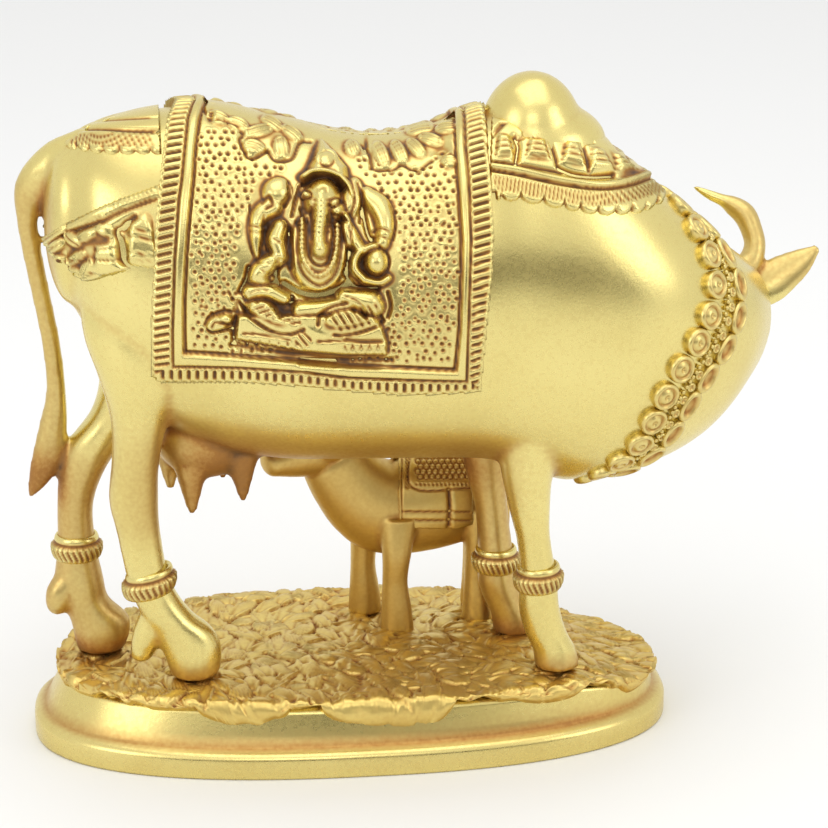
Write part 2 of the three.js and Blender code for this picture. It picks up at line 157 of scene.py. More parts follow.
def fused(name: str, parts: Sequence[bpy.types.Object], voxel: float, rounds: int) -> bpy.types.Object:
    """Fuses overlapping closed parts in one skin with soft joints, as wax is worked for a casting.

    Args:
        name: The new object's name.
        parts: Closed meshes that overlap.
        voxel: Grain of the new skin in millimetres.
        rounds: How often the skin is smoothed.

    Returns:
        The fused object.
    """
    whole = joined(name, parts)
    apply_modifier(whole, "REMESH", mode="VOXEL", voxel_size=voxel * MM, use_smooth_shade=True)
    apply_modifier(whole, "SMOOTH", factor=0.5, iterations=rounds)
    return whole


def neighbour_average(mesh: bpy.types.Mesh, values: np.ndarray, rounds: int) -> np.ndarray:
    """Averages values over each vertex's neighbours, again and again.

    Args:
        mesh: The mesh whose edges join the neighbours.
        values: One row for each vertex.
        rounds: How often they are averaged.

    Returns:
        The averaged rows.
    """
    ends = np.empty(len(mesh.edges) * 2, np.int64)
    mesh.edges.foreach_get("vertices", ends)
    first, second = ends.reshape(-1, 2).T
    count = len(mesh.vertices)
    share = np.maximum(np.bincount(ends, minlength=count), 1)[:, None]
    for _ in range(rounds):
        total = np.stack(
            [
                np.bincount(first, column[second], count) + np.bincount(second, column[first], count)
                for column in values.T
            ],
            axis=1,
        )
        values = 0.5 * values + 0.5 * total / share
    return values


def leave_lacquer(
    piece: bpy.types.Object, rounds: int, full: float, least: float = 0.0, extra: np.ndarray | None = None
) -> None:
    """Writes how much brown lacquer the polishing has left on each vertex, most in the hollows.

    Args:
        piece: The finished mesh.
        rounds: How far round a vertex its hollow is measured, in edges.
        full: Depth in millimetres of a hollow that keeps all its lacquer.
        least: Share that stays everywhere.
        extra: Share that is added on each vertex.
    """
    points = points_of(piece)
    normals = np.empty(len(points) * 3)
    piece.data.vertices.foreach_get("normal", normals)
    hollow = neighbour_average(piece.data, points, rounds) - points
    depth = (hollow * normals.reshape(-1, 3)).sum(1)
    share = np.clip(depth / full, 0, 1)[:, None]
    share = neighbour_average(piece.data, share, 1)[:, 0] + least
    if extra is not None:
        share = share + extra
    attribute = piece.data.attributes.new(LACQUER_AND_SHADE, "FLOAT", "POINT")
    attribute.data.foreach_set("value", np.clip(share, 0, 1))


# Forms


def add_brown(piece: bpy.types.Object, amount: np.ndarray | float) -> None:
    """Adds an amount of brown, for each point, to the lacquer share, on top of what is in the hollows."""
    layer = piece.data.attributes[LACQUER_AND_SHADE].data
    values = np.empty(len(layer), np.float32)
    layer.foreach_get("value", values)
    layer.foreach_set("value", np.clip(values + amount, 0, 1).astype(np.float32))


def spline(rows: Rows, share: np.ndarray) -> np.ndarray:
    """Points on the even Catmull-Rom curve through the rows.

    Args:
        rows: The rows that the curve passes through.
        share: Places along it, 0 at the first row and 1 at the last.

    Returns:
        One row for each place.
    """
    knots = np.asarray(rows, float)
    padded = np.vstack([2 * knots[0] - knots[1], knots, 2 * knots[-1] - knots[-2]])
    place = np.clip(share, 0, 1) * (len(knots) - 1)
    start = np.minimum(place.astype(int), len(knots) - 2)
    x = (place - start)[..., None]
    before, first, second, after = (padded[start + k] for k in range(4))
    leaving, coming = (second - before) / 2, (after - first) / 2
    square = 3 * (second - first) - 2 * leaving - coming
    cube = 2 * (first - second) + leaving + coming
    return first + x * (leaving + x * (square + x * cube))


def unit(rows: np.ndarray) -> np.ndarray:
    """The rows at length one."""
    return rows / np.linalg.norm(rows, axis=-1, keepdims=True)


def bulged(value: np.ndarray, fullness: float) -> np.ndarray:
    """A sine or cosine for a section that is round, 2, or fuller than round."""
    return np.sign(value) * np.abs(value) ** (2 / fullness)


@dataclass
class Form:
    """A limb or trunk through stations of x, y, z, half depth and half width.

    A section's angle runs from its upper side, 0, to the side named by side, a quarter turn.
    """

    stations: Rows
    facings: Rows | None = None
    side: Row = NEAR
    domes: tuple[float, float] = (0.0, 0.0)
    fullness: float = 2.0

    def section(self, share: np.ndarray) -> tuple[np.ndarray, ...]:
        """Centre, upward and sideways directions, half sizes and facing of the sections.

        Args:
            share: Places along the form, from 0 to 1.

        Returns:
            The six arrays, with one row for each place.
        """
        rows = np.asarray(self.stations, float)
        here = spline(rows, share)
        if self.facings is None:
            step = 1e-4
            ahead = spline(rows[:, :3], np.minimum(share + step, 1))
            facing = unit(ahead - spline(rows[:, :3], np.maximum(share - step, 0)))
        else:
            facing = unit(spline(self.facings, share))
        side = np.broadcast_to(np.asarray(self.side, float), facing.shape)
        side = unit(side - facing * (side * facing).sum(-1, keepdims=True))
        return here[..., :3], np.cross(side, facing), side, here[..., 3:4], here[..., 4:5], facing

    def skin(self, share: np.ndarray, angle: np.ndarray, grow: float = 0.0) -> np.ndarray:
        """Points on the form's skin, raised by grow."""
        centre, up, side, deep, wide, _ = self.section(share)
        rise = bulged(np.cos(angle), self.fullness)[..., None]
        spread = bulged(np.sin(angle), self.fullness)[..., None]
        return centre + up * (deep + grow) * rise + side * (wide + grow) * spread

    def cover(self, along: np.ndarray, angle: np.ndarray, grow: float = 0.0) -> np.ndarray:
        """Points on the skin and its end domes, along from 0 at the first tip to 1 at the last."""
        cap = 0.1
        share = np.clip((along - cap) / (1 - 2 * cap), 0, 1)
        centre, _, _, _, _, facing = self.section(share)
        skin = self.skin(share, angle, grow)
        for dome, way, inward in ((self.domes[0], -1, along / cap), (self.domes[1], 1, (1 - along) / cap)):
            turn = np.clip(inward, 0, 1)[..., None] * math.pi / 2
            capped = centre + (skin - centre) * np.sin(turn) + way * facing * dome * np.cos(turn)
            skin = np.where(turn < math.pi / 2, capped, skin)
        return skin

    def model(self, name: str, sides: int, rings: int, grow: float = 0.0) -> bpy.types.Object:
        """A ball that is drawn out along the form.

        Args:
            name: The new object's name.
            sides: Faces round it.
            rings: Faces along it.
            grow: How far the skin is raised.

        Returns:
            The closed form.
        """
        deselect_all()
        bpy.ops.mesh.primitive_uv_sphere_add(segments=sides, ring_count=rings, radius=MM)
        piece = take_primitive(name)
        x, y, z = points_of(piece).T
        set_points(piece, self.cover(np.arccos(np.clip(z, -1, 1)) / math.pi, np.arctan2(y, x), grow))
        turn_out(piece)
        return piece


def blob(name: str, centre: Row, half: Row, turn: Row = (0, 0, 0), smooth: int = 24) -> bpy.types.Object:
    """An ellipsoid with its half sizes, turned by degrees about X, Y and Z in that order."""
    deselect_all()
    bpy.ops.mesh.primitive_uv_sphere_add(segments=smooth, ring_count=smooth // 2 + 2, radius=MM)
    piece = take_primitive(name)
    spin = np.array(Euler([math.radians(d) for d in turn], "XYZ").to_matrix())
    set_points(piece, (points_of(piece) * np.asarray(half)) @ spin.T + np.asarray(centre))
    return piece


# The studio


@dataclass(frozen=True)
class FrontView:
    """The camera's place, which also lays out the relief."""

    azimuth: float = -6.3
    elevation: float = 18.0
    target: tuple[float, float, float] = (16.2, 0.0, 80.0)
    distance: float = 650.0
    units_per_mm: float = 4.0
    middle: float = 414.0

    def axes(self) -> tuple[np.ndarray, np.ndarray, np.ndarray]:
        """Directions towards the camera, to its right and to its top."""
        a, e = math.radians(self.azimuth), math.radians(self.elevation)
        back = np.array([math.sin(a) * math.cos(e), -math.cos(a) * math.cos(e), math.sin(e)])
        right = np.array([math.cos(a), math.sin(a), 0.0])
        return back, right, np.cross(back, right)

    def layout(self, points: np.ndarray) -> tuple[np.ndarray, np.ndarray]:
        """Layout coordinates u and v of points."""
        back, right, up = self.axes()
        away = points - (np.array(self.target) + self.distance * back)
        scale = -self.units_per_mm * self.distance / (away @ back)
        return self.middle + scale * (away @ right), self.middle - scale * (away @ up)

    def camera(self) -> None:
        """Puts the camera in the scene."""
        back, right, up = self.axes()
        data = bpy.data.cameras.new("front_view")
        data.sensor_width = 36.0
        data.lens = self.units_per_mm * self.distance * 36.0 / (2 * self.middle)
        data.clip_start, data.clip_end = 0.02, 20.0
        camera = bpy.data.objects.new("front_view", data)
        bpy.context.scene.collection.objects.link(camera)
        turn = Matrix((right, up, back)).transposed().to_4x4()
        place = np.array(self.target) + self.distance * back
        camera.matrix_world = Matrix.Translation(Vector(place) * MM) @ turn
        bpy.context.scene.camera = camera


VIEW = FrontView()


# Shader writing


class Shade:
    """A value in a shader, which takes part in sums, products and powers."""

    def __init__(self, sheet: "ShaderSheet", socket: bpy.types.NodeSocket) -> None:
        """Wraps the output of a node on a sheet."""
        self.sheet = sheet
        self.socket = socket

    def _math(self, operation: str, first: "Shade | float", second: "Shade | float") -> "Shade":
        """A Math node on two values."""
        node = self.sheet.node("ShaderNodeMath", {"operation": operation}, {0: first, 1: second})
        return Shade(self.sheet, node.outputs[0])

    def __add__(self, other: "Shade | float") -> "Shade":
        """Sum."""
        return self._math("ADD", self, other)

    __radd__ = __add__

    def __mul__(self, other: "Shade | float") -> "Shade":
        """Product."""
        return self._math("MULTIPLY", self, other)

    __rmul__ = __mul__

    def __sub__(self, other: "Shade | float") -> "Shade":
        """Difference."""
        return self._math("SUBTRACT", self, other)

    def __rsub__(self, other: float) -> "Shade":
        """Difference with the value taken away."""
        return self._math("SUBTRACT", other, self)

    def __pow__(self, other: float) -> "Shade":
        """Power."""
        return self._math("POWER", self, other)

    def clipped(self) -> "Shade":
        """The value kept between 0 and 1."""
        node = self.sheet.node("ShaderNodeClamp", {}, {"Value": self})
        return Shade(self.sheet, node.outputs[0])


Colour = tuple[float, float, float]


class ShaderSheet:
    """One material's nodes, written as expressions."""

    def __init__(self, name: str) -> None:
        """Starts an empty material."""
        self.material = bpy.data.materials.new(name)
        self.material.use_nodes = True
        self.nodes = self.material.node_tree.nodes
        self.links = self.material.node_tree.links
        self.nodes.clear()

    def node(self, kind: str, settings: dict, inputs: dict) -> bpy.types.Node:
        """Adds a node.

        Args:
            kind: The node's type.
            settings: Properties, which are set first.
            inputs: Sockets by name or number, with a Shade to link or a value to set.

        Returns:
            The node.
        """
        node = self.nodes.new(kind)
        for key, value in settings.items():
            setattr(node, key, value)
        for key, value in inputs.items():
            if isinstance(value, Shade):
                self.links.new(value.socket, node.inputs[key])
            else:
                node.inputs[key].default_value = value
        return node

    def attribute(self, name: str) -> Shade:
        """A number that is stored on the mesh."""
        settings = {"attribute_type": "GEOMETRY", "attribute_name": name}
        return Shade(self, self.node("ShaderNodeAttribute", settings, {}).outputs["Fac"])

    def place(self) -> Shade:
        """Object coordinates."""
        return Shade(self, self.node("ShaderNodeTexCoord", {}, {}).outputs["Object"])

    def noise(self, scale: float, detail: float = 2.0, stretch: Colour = (1, 1, 1)) -> Shade:
        """Noise of so many waves a metre, from 0 to 1, drawn out along axes."""
        node = self.node("ShaderNodeMapping", {}, {"Vector": self.place(), "Scale": stretch})
        inputs = {"Vector": Shade(self, node.outputs[0]), "Scale": scale, "Detail": detail}
        return Shade(self, self.node("ShaderNodeTexNoise", {}, inputs).outputs["Fac"])

    def mixed(self, share: Shade, first: "Shade | Colour", second: "Shade | Colour") -> Shade:
        """A colour between two, by a share."""
        whole = {
            key: (*value, 1.0) if isinstance(value, tuple) else value
            for key, value in {"A": first, "B": second}.items()
        }
        node = self.node("ShaderNodeMix", {"data_type": "RGBA"}, {0: share})
        for socket in node.inputs:
            if socket.type == "RGBA" and socket.name in whole:
                value = whole[socket.name]
                if isinstance(value, Shade):
                    self.links.new(value.socket, socket)
                else:
                    socket.default_value = value
        return Shade(self, next(out for out in node.outputs if out.type == "RGBA"))

    def bumped(self, height: Shade, distance: float, strength: float = 1.0) -> Shade:
        """A normal that leans with a height in metres of distance."""
        inputs = {"Height": height, "Distance": distance, "Strength": strength}
        return Shade(self, self.node("ShaderNodeBump", {}, inputs).outputs[0])

    def finished(self, inputs: dict) -> bpy.types.Material:
        """Ends the sheet with a Principled shader and returns the material."""
        shader = self.node("ShaderNodeBsdfPrincipled", {}, inputs)
        output = self.node("ShaderNodeOutputMaterial", {}, {})
        self.links.new(shader.outputs[0], output.inputs[0])
        return self.material


@dataclass(frozen=True)
class Brass:
    """Polished brass with brown lacquer in its hollows, and painted shade where the lacquer attribute carries it."""

    name: str
    bright: Colour = (0.83, 0.71, 0.28)
    deep: Colour = (0.63, 0.49, 0.15)
    amber: Colour = (0.46, 0.22, 0.055)
    umber: Colour = (0.045, 0.016, 0.006)
    gloss: float = 0.2
    tarnish: float = 0.5
    grain: float = 0.000018

    def material(self) -> bpy.types.Material:
        """The finish as a material."""
        sheet = ShaderSheet(self.name)
        # left is the lacquer in the hollows and, on the cow's body, painted shade and painted reflection of the
        # ground, as one share.
        left = sheet.attribute(LACQUER_AND_SHADE)
        cloud = sheet.noise(38.0, 3.0)
        fleck = sheet.noise(900.0, 3.0)
        skin = sheet.mixed((cloud * 1.8 - 0.4).clipped() * self.tarnish, self.bright, self.deep)
        amber = ((left + (fleck - 0.5) * 0.25) * 1.9).clipped()
        umber = ((left + (fleck - 0.5) * 0.2) * 1.7 - 0.75).clipped()
        colour = sheet.mixed(umber, sheet.mixed(amber, skin, self.amber), self.umber)
        rough = (self.gloss + cloud * 0.08 + fleck * 0.06 + amber * 0.22).clipped()
        height = sheet.noise(1400.0, 2.0) + sheet.noise(120.0, 1.0) * 3.0
        return sheet.finished(
            {
                "Base Color": colour,
                "Metallic": (1.0 - umber * 0.8 - amber * 0.12).clipped(),
                "Roughness": rough,
                "Normal": sheet.bumped(height, self.grain),
            }
        )


class Finish(Enum):
    """The statue's finishes."""

    COW = Brass("cow_brass")
    CALF = Brass("calf_brass", bright=(0.74, 0.55, 0.18), deep=(0.52, 0.34, 0.09), gloss=0.3)
    MOUND = Brass("mound_brass", bright=(0.80, 0.67, 0.26), deep=(0.62, 0.46, 0.13))
    TURF = Brass("turf_brass", bright=(0.84, 0.66, 0.22), deep=(0.60, 0.38, 0.09), gloss=0.28)


class Dresser:
    """Gives the pieces their finish, body and CAD node, and reports them."""

    def __init__(self) -> None:
        """Makes the materials."""
        self.materials = {finish: finish.value.material() for finish in Finish}

    def dress(self, piece: bpy.types.Object, finish: Finish, node: str) -> None:
        """Finishes one piece.

        Args:
            piece: The object, with its place in its mesh.
            finish: Its finish.
            node: The casting that it stands for.
        """
        piece.data.materials.clear()
        piece.data.materials.append(self.materials[finish])
        smooth_shading(piece)
        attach(piece, "root")
        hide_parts(node)
        piece.data.calc_loop_triangles()
        log.info("%s: %d triangles, %s", piece.name, len(piece.data.loop_triangles), finish.value.name)


# The mound

TURF_TUFTS = (
    (232, 12, 1.5),
    (251, 9, 6),
    (274, 9, 8),
    (302, 11, 3),
    (330, 9, 2.5),
    (15, 12, 2),
    (52, 12, 4),
    (88, 13, 5),
    (124, 12, 4),
    (160, 13, 3),
    (200, 12, 2),
)


def smoothstep(value: np.ndarray, low: float, high: float) -> np.ndarray:
    """0 below low, 1 above high and smooth in between."""
    x = np.clip((value - low) / (high - low), 0, 1)
    return x * x * (3 - 2 * x)


@dataclass
class Mound:
    """The oval foot, its plain wall and the combed turf on top."""

    length: float = 162.0
    width: float = 79.6
    roundness: float = 2.45
    top: float = 20.0
    lip_inset: float = 5.2
    wall: Rows = ((0.6, 0), (0.15, 0.25), (0, 0.8), (0, 5), (0.3, 5.8), (1.2, 6.6), (2.8, 7.1), (3.3, 7.7))
    sides: int = 240

    def oval(self, angle: np.ndarray, inset: np.ndarray | float, z: np.ndarray | float) -> np.ndarray:
        """Points on the oval, drawn in by inset, at height z."""
        x = (self.length / 2 - inset) * bulged(np.cos(angle), self.roundness)
        y = (self.width / 2 - inset) * bulged(np.sin(angle), self.roundness)
        return np.stack([x, y, np.broadcast_to(z, x.shape)], -1)

    def lean(self, angle: np.ndarray) -> np.ndarray:
        """How much further in the wall leans, more at the tail than at the chest."""
        return 1 - 0.35 * np.cos(angle)

    def tuft_drop(self, angle: np.ndarray) -> np.ndarray:
        """How far the turf's edge hangs down the wall."""
        degrees = np.degrees(angle)
        drops = np.zeros_like(degrees)
        for at, half, drop in TURF_TUFTS:
            away = np.abs((degrees - at + 540) % 360 - 180) / half
            drops = np.maximum(drops, drop * np.sqrt(np.clip(1 - away * away, 0, 1)))
        return drops

    def turf_height(self, x: np.ndarray, y: np.ndarray, share: np.ndarray) -> np.ndarray:
        """Height of the turf at a share of the way in from its edge, 0, to the middle, 1."""
        fall = smoothstep(x + 0.3 * y, 42, 76) * 5 + smoothstep(-x, 70, 80) * 1.6
        rise = smoothstep(y - 0.25 * x, 18, 36) * 2.2
        waves = 0.5 * np.sin(x / 6) * np.cos(y / 5 + x / 17)
        return self.top + rise - fall - 1.6 * (1 - share) ** 2 + waves * np.minimum(1, 2 * share)

    def foot(self) -> bpy.types.Object:
        """The oval foot and wall: a disc that is drawn up ring by ring."""
        angle = np.arange(self.sides) * 2 * math.pi / self.sides
        rings = [self.oval(angle, inset, z) for inset, z in self.wall]
        lip = self.oval(angle, self.lip_inset * self.lean(angle) + 0.4, 0)
        under_turf = self.turf_height(lip[:, 0], lip[:, 1], 0 * angle) - 2.4
        for share in (0.3, 0.6, 0.85, 1.0):
            inset = 3.3 + (self.lip_inset * self.lean(angle) + 0.4 - 3.3) * share
            rings.append(self.oval(angle, inset, 7.7 + (under_turf - 7.7) * share))
        deselect_all()
        bpy.ops.mesh.primitive_circle_add(vertices=self.sides, radius=MM, fill_type="NGON")
        piece = take_primitive("mound_foot")
        start = np.arctan2(*points_of(piece)[:, 1::-1].T) % (2 * math.pi)
        order = np.rint(start / (2 * math.pi) * self.sides).astype(int) % self.sides
        places = [rings[0][order]]
        with editing(piece):
            for ring in rings[1:]:
                bpy.ops.mesh.extrude_region_move(TRANSFORM_OT_translate={"value": (0, 0, MM)})
                places.append(ring[order])
        set_points(piece, np.vstack(places))
        turn_out(piece)
        leave_lacquer(piece, 6, 0.8)
        return piece

    def comb(self, x: np.ndarray, y: np.ndarray, over: np.ndarray) -> np.ndarray:
        """Height of the combed tufts over the plain turf.

        Args:
            x: Places along the mound.
            y: Places across it.
            over: How far each point hangs over the lip, from 0 to 1.

        Returns:
            The heights in millimetres.
        """
        relief = Relief(x * 4, y * 4, over)
        chance = np.random.default_rng(11)
        for row, v0 in enumerate(np.arange(-152, 156, 15.5)):
            for u0 in np.arange(-318 + (row % 2) * 15, 322, 30):
                u, v = u0 + chance.normal(0, 5), v0 + chance.normal(0, 3.5)
                turn = math.degrees(math.atan2(v * 1.4, u)) * 0.6 + chance.normal(0, 32)
                turn += 180 * (u < 0) * (chance.random() < 0.5)
                long, wide = chance.uniform(15, 24), chance.uniform(8, 12)
                relief.dome(u, v, long, wide, chance.uniform(-0.1, 0.35), chance.uniform(0.7, 1.2), turn)
                spin = math.radians(turn)
                along = np.array([math.cos(spin), math.sin(spin)])
                aside = np.array([-along[1], along[0]])
                root = np.array([u, v]) - along * long * 0.85
                for fan in np.linspace(-1, 1, 7):
                    middle = np.array([u, v]) + aside * wide * 0.62 * fan
                    tip = np.array([u, v]) + along * long * 0.95 + aside * wide * fan
                    start = root + aside * wide * 0.25 * fan
                    relief.line((tuple(start), tuple(middle), tuple(tip)), 1.15, 0.42)
        return relief.height - 0.3

    def turf(self) -> bpy.types.Object:
        """The turf: a sheet that is bent over the mound's lip and combed in tufts."""
        deselect_all()
        bpy.ops.mesh.primitive_grid_add(x_subdivisions=410, y_subdivisions=226, size=2 * MM)
        piece = take_primitive("turf")
        a, b, _ = points_of(piece).T
        a, b = a * np.sqrt(1 - b * b / 2), b * np.sqrt(1 - a * a / 2)
        reach = np.hypot(a, b)
        angle = np.arctan2(b, a)
        lip = 0.93
        inner = np.minimum(reach / lip, 1.0)
        rim = self.oval(angle, self.lip_inset * self.lean(angle) + 0.9, 0)
        x, y = (rim * inner[:, None])[:, :2].T
        over = np.clip((reach - lip) / (1 - lip), 0, 1)
        z = self.turf_height(x, y, 1 - inner)
        z -= over * (1.4 + self.tuft_drop(angle)) + 0.6 * over * np.sin(angle * 37 + np.cos(angle * 11) * 3)
        comb = self.comb(x + np.cos(angle) * over * 6, y + np.sin(angle) * over * 6, over)
        edge = self.oval(angle, self.lip_inset * self.lean(angle) - 1.1 * np.sin(over * math.pi), 0)
        x, y = (np.where(over > 0, edge[:, k] + comb * way(angle) * 0.5, (x, y)[k]) for k, way in ((0, np.cos), (1, np.sin)))
        z = z + comb * (1 - 0.6 * over)
        set_points(piece, np.stack([x, y, z], -1))
        with editing(piece):
            bpy.ops.mesh.select_mode(type="VERT")
            bpy.ops.mesh.select_all(action="DESELECT")
            bpy.ops.mesh.select_non_manifold(use_wire=False, use_multi_face=False, use_non_contiguous=False)
            bpy.ops.mesh.extrude_edges_move()
            bpy.ops.mesh.merge(type="CENTER")
            bpy.ops.mesh.select_all(action="SELECT")
            bpy.ops.mesh.normals_make_consistent(inside=False)
        leave_lacquer(piece, 7, 0.42, 0.03)
        return piece

    def build(self, dresser: Dresser) -> None:
        """Builds and dresses the mound."""
        dresser.dress(self.foot(), Finish.MOUND, "mound")
        dresser.dress(self.turf(), Finish.TURF, "mound")


# The cow

TRUNK = Form(
    stations=(
        (-67, COW_Y, 133.5, 19.5, 14),
        (-59, COW_Y, 128.5, 28.5, 21.5),
        (-46, COW_Y, 122, 38, 26),
        (-33, COW_Y, 119, 41.5, 28.5),
        (-18, COW_Y, 115.5, 41.3, 30),
        (0, COW_Y, 113, 39.5, 30.5),
        (16, COW_Y, 113, 40, 30),
        (32, COW_Y, 115, 43, 29),
        (44, COW_Y, 112.5, 44.5, 27.5),
        (55, COW_Y, 109, 43.6, 26),
        (66, -8, 103.4, 36.6, 24),
        (75, -4, 98, 32.6, 22),
        (84, 3, 95.4, 27.6, 20),
        (90, 12, 95.4, 22.6, 18),
    ),
    facings=(
        *(FORWARD,) * 9,
        (0.99, 0.08, -0.06),
        (0.93, 0.28, -0.18),
        (0.83, 0.49, -0.26),
        (0.66, 0.7, -0.26),
        (0.45, 0.85, -0.26),
    ),
    domes=(6, 4),
    fullness=2.1,
)

TAIL = Form(
    stations=(
        (-62, COW_Y, 148, 9, 6),
        (-69.5, -8, 147, 6, 5),
        (-75.6, -6.5, 141.5, 4.2, 3.8),
        (-77, -5, 134, 2.6, 2.7),
        (-76.4, -3, 126, 2.4, 2.5),
        (-74.7, -1, 114, 2.3, 2.4),
        (-72.8, 0, 101, 2.3, 2.4),
        (-72.2, 1, 89, 2.5, 2.5),
        (-73.2, 2, 80, 3.5, 3),
        (-75, 2, 72, 3.8, 2.8),
        (-77.4, 2, 66, 2.8, 2.2),
        (-79.6, 2, 61.5, 0.9, 1),
    ),
    domes=(0, 0.6),
)


@dataclass
class CowBody:
    """The cow's smooth skin: trunk, hump, legs, udder and tail in one casting."""

    ground: float = 19.2
    legs: dict[str, Rows] = field(
        default_factory=lambda: {
            "fore_near": (
                (47, -21, 108, 14, 8),
                (45, -21, 94, 12, 9),
                (42.5, -21, 82, 8.5, 8),
                (41.7, -21, 71, 6.4, 6.5),
                (42.6, -21, 60, 4.9, 5),
                (43.6, -21, 53, 4.2, 4.6),
                (44.9, -21, 43.5, 4.6, 4.8),
                (45.1, -21, 36, 5.1, 5),
                (46.8, -21, 29, 5.3, 4.8),
                (49.2, -21, 24, 5.4, 5),
                (50, -21, 19.2, 5.8, 5.6),
            ),
            "fore_far": (
                (39.8, 3, 108, 14, 8),
                (37.8, 3, 94, 12, 9),
                (35.3, 3, 82, 8.5, 8),
                (34.5, 3, 71, 6.4, 6.5),
                (35.4, 3, 60, 4.9, 5),
                (36.4, 3, 53, 4.2, 4.6),
                (37.7, 3, 39.5, 4.6, 4.8),
                (38, 3, 34.2, 5.1, 5),
                (39.6, 3, 29, 5.3, 4.8),
                (42, 3, 24, 5.4, 5),
                (42.8, 3, 19.2, 5.8, 5.6),
            ),
            "hind_near": (
                (-50, -18, 124, 15, 8),
                (-48.5, -20, 110, 16.2, 11),
                (-49.5, -20.5, 99, 12, 10.5),
                (-51.8, -20, 88, 7.2, 7.6),
                (-53.3, -19, 77, 5.8, 6.2),
                (-54.1, -18, 67, 6, 5.8),
                (-53.2, -17.5, 58, 5.3, 5.2),
                (-51, -17, 44.9, 5.2, 5),
                (-47.2, -17, 36.5, 6.2, 5.2),
                (-43.4, -17, 32.2, 7.2, 5.2),
                (-41.2, -17, 27.5, 7.4, 5.4),
                (-40.5, -17, 22, 6.6, 5.4),
                (-40.5, -17, 19.2, 5.6, 5),
            ),
            "hind_far": (
                (-49, 1, 120, 13, 8),
                (-48, 2, 104, 14, 10),
                (-51, 3, 92, 10.5, 9),
                (-56.5, 3, 83, 7.4, 7),
                (-62.8, 3, 75, 7, 6),
                (-66.8, 3, 67, 5.6, 5.2),
                (-68.8, 3, 58, 4.5, 4.6),
                (-68.8, 3, 47.4, 4.9, 4.7),
                (-68.6, 3, 38.5, 6.2, 5.4),
                (-67.4, 3, 33, 6.1, 5.2),
                (-64, 3, 28, 7.4, 5.4),
                (-63.4, 3, 24, 7.2, 5.6),
                (-63.8, 3, 19.2, 6, 5.6),
            ),
        }
    )
    teats: Rows = ((-27.5, -14, 64), (-40, -14, 61), (-45, -5, 64.5), (-32, -4, 66.5))

    def forms(self) -> list[bpy.types.Object]:
        """All the forms that make up the skin."""
        parts = [
            TRUNK.model("trunk", 96, 140),
            TAIL.model("tail", 20, 90),
            blob("hump", (43.4, COW_Y, 152.4), (12.4, 12.4, 15.2), smooth=48),
            blob("hump_foot", (44.5, COW_Y, 150.5), (17, 13.8, 10.2), smooth=48),
            blob("udder", (-36, COW_Y, 80), (13, 11, 11), smooth=40),
            blob("dewclaw", (-73.6, 1, 35), (3.6, 3.6, 5.6), (0, 14, 0)),
        ]
        for name, rows in self.legs.items():
            facings = [DOWN] * len(rows)
            parts.append(Form(rows, facings).model(name, 40, 90))
        lobe = ((-49, -16, 38, 4, 4), (-51.5, -15.5, 31, 4, 4), (-53.5, -15, 24.5, 3, 3.4))
        parts.append(Form(lobe, [DOWN] * 3, domes=(0, 1.5)).model("heel", 24, 24))
        for x, y, tip in self.teats:
            rows = ((x, y, tip + 12, 4.2, 4.2), (x, y, tip + 6, 2.7, 2.7), (x, y, tip, 1.1, 1.1))
            parts.append(Form(rows, [DOWN] * 3, domes=(0, 0.6)).model("teat", 20, 24))
        return parts

    def build(self, dresser: Dresser) -> None:
        """Builds and dresses the skin."""
        body = fused("cow_body", self.forms(), 0.9, 8)
        leave_lacquer(body, 14, 0.9)
        # Painted shade and painted reflection of the ground under the belly, udder and far legs, and a browner tail
        # and soles, are added to the lacquer share.
        add_brown(body, self.painted_shade_and_brown(*points_of(body).T))
        dresser.dress(body, Finish.COW, "cow")

    def painted_shade_and_brown(self, x: np.ndarray, y: np.ndarray, z: np.ndarray) -> np.ndarray:
        """How much brown is added on the belly, udder, far legs, tail and soles: painted shade and painted reflection
        of the ground on the belly and udder, painted shade on the far legs, and a browner tail and soles.
        """
        belly = smoothstep(88 - z, 0, 14) * smoothstep(z, 55, 66) * smoothstep(46 - np.abs(x), 0, 20)
        udder = np.exp(-(((x + 36) / 18) ** 2)) * smoothstep(94 - z, 0, 18) * smoothstep(z, 52, 62)
        far = smoothstep(y, -6, 0) * smoothstep(78 - z, 0, 10)
        tail = smoothstep(-x, 69, 72) * smoothstep(150 - z, 0, 12) * smoothstep(z, 56, 64)
        soles = smoothstep(26 - z, 0, 6)
        return 0.26 * belly + 0.4 * udder + 0.3 * far + 0.22 * tail + 0.35 * soles


HEAD_PLACE = Matrix.LocRotScale(
    Vector((87, 15, 103.5)),
    Euler((math.radians(-7), math.radians(28), math.radians(79)), "XYZ"),
    None,
)


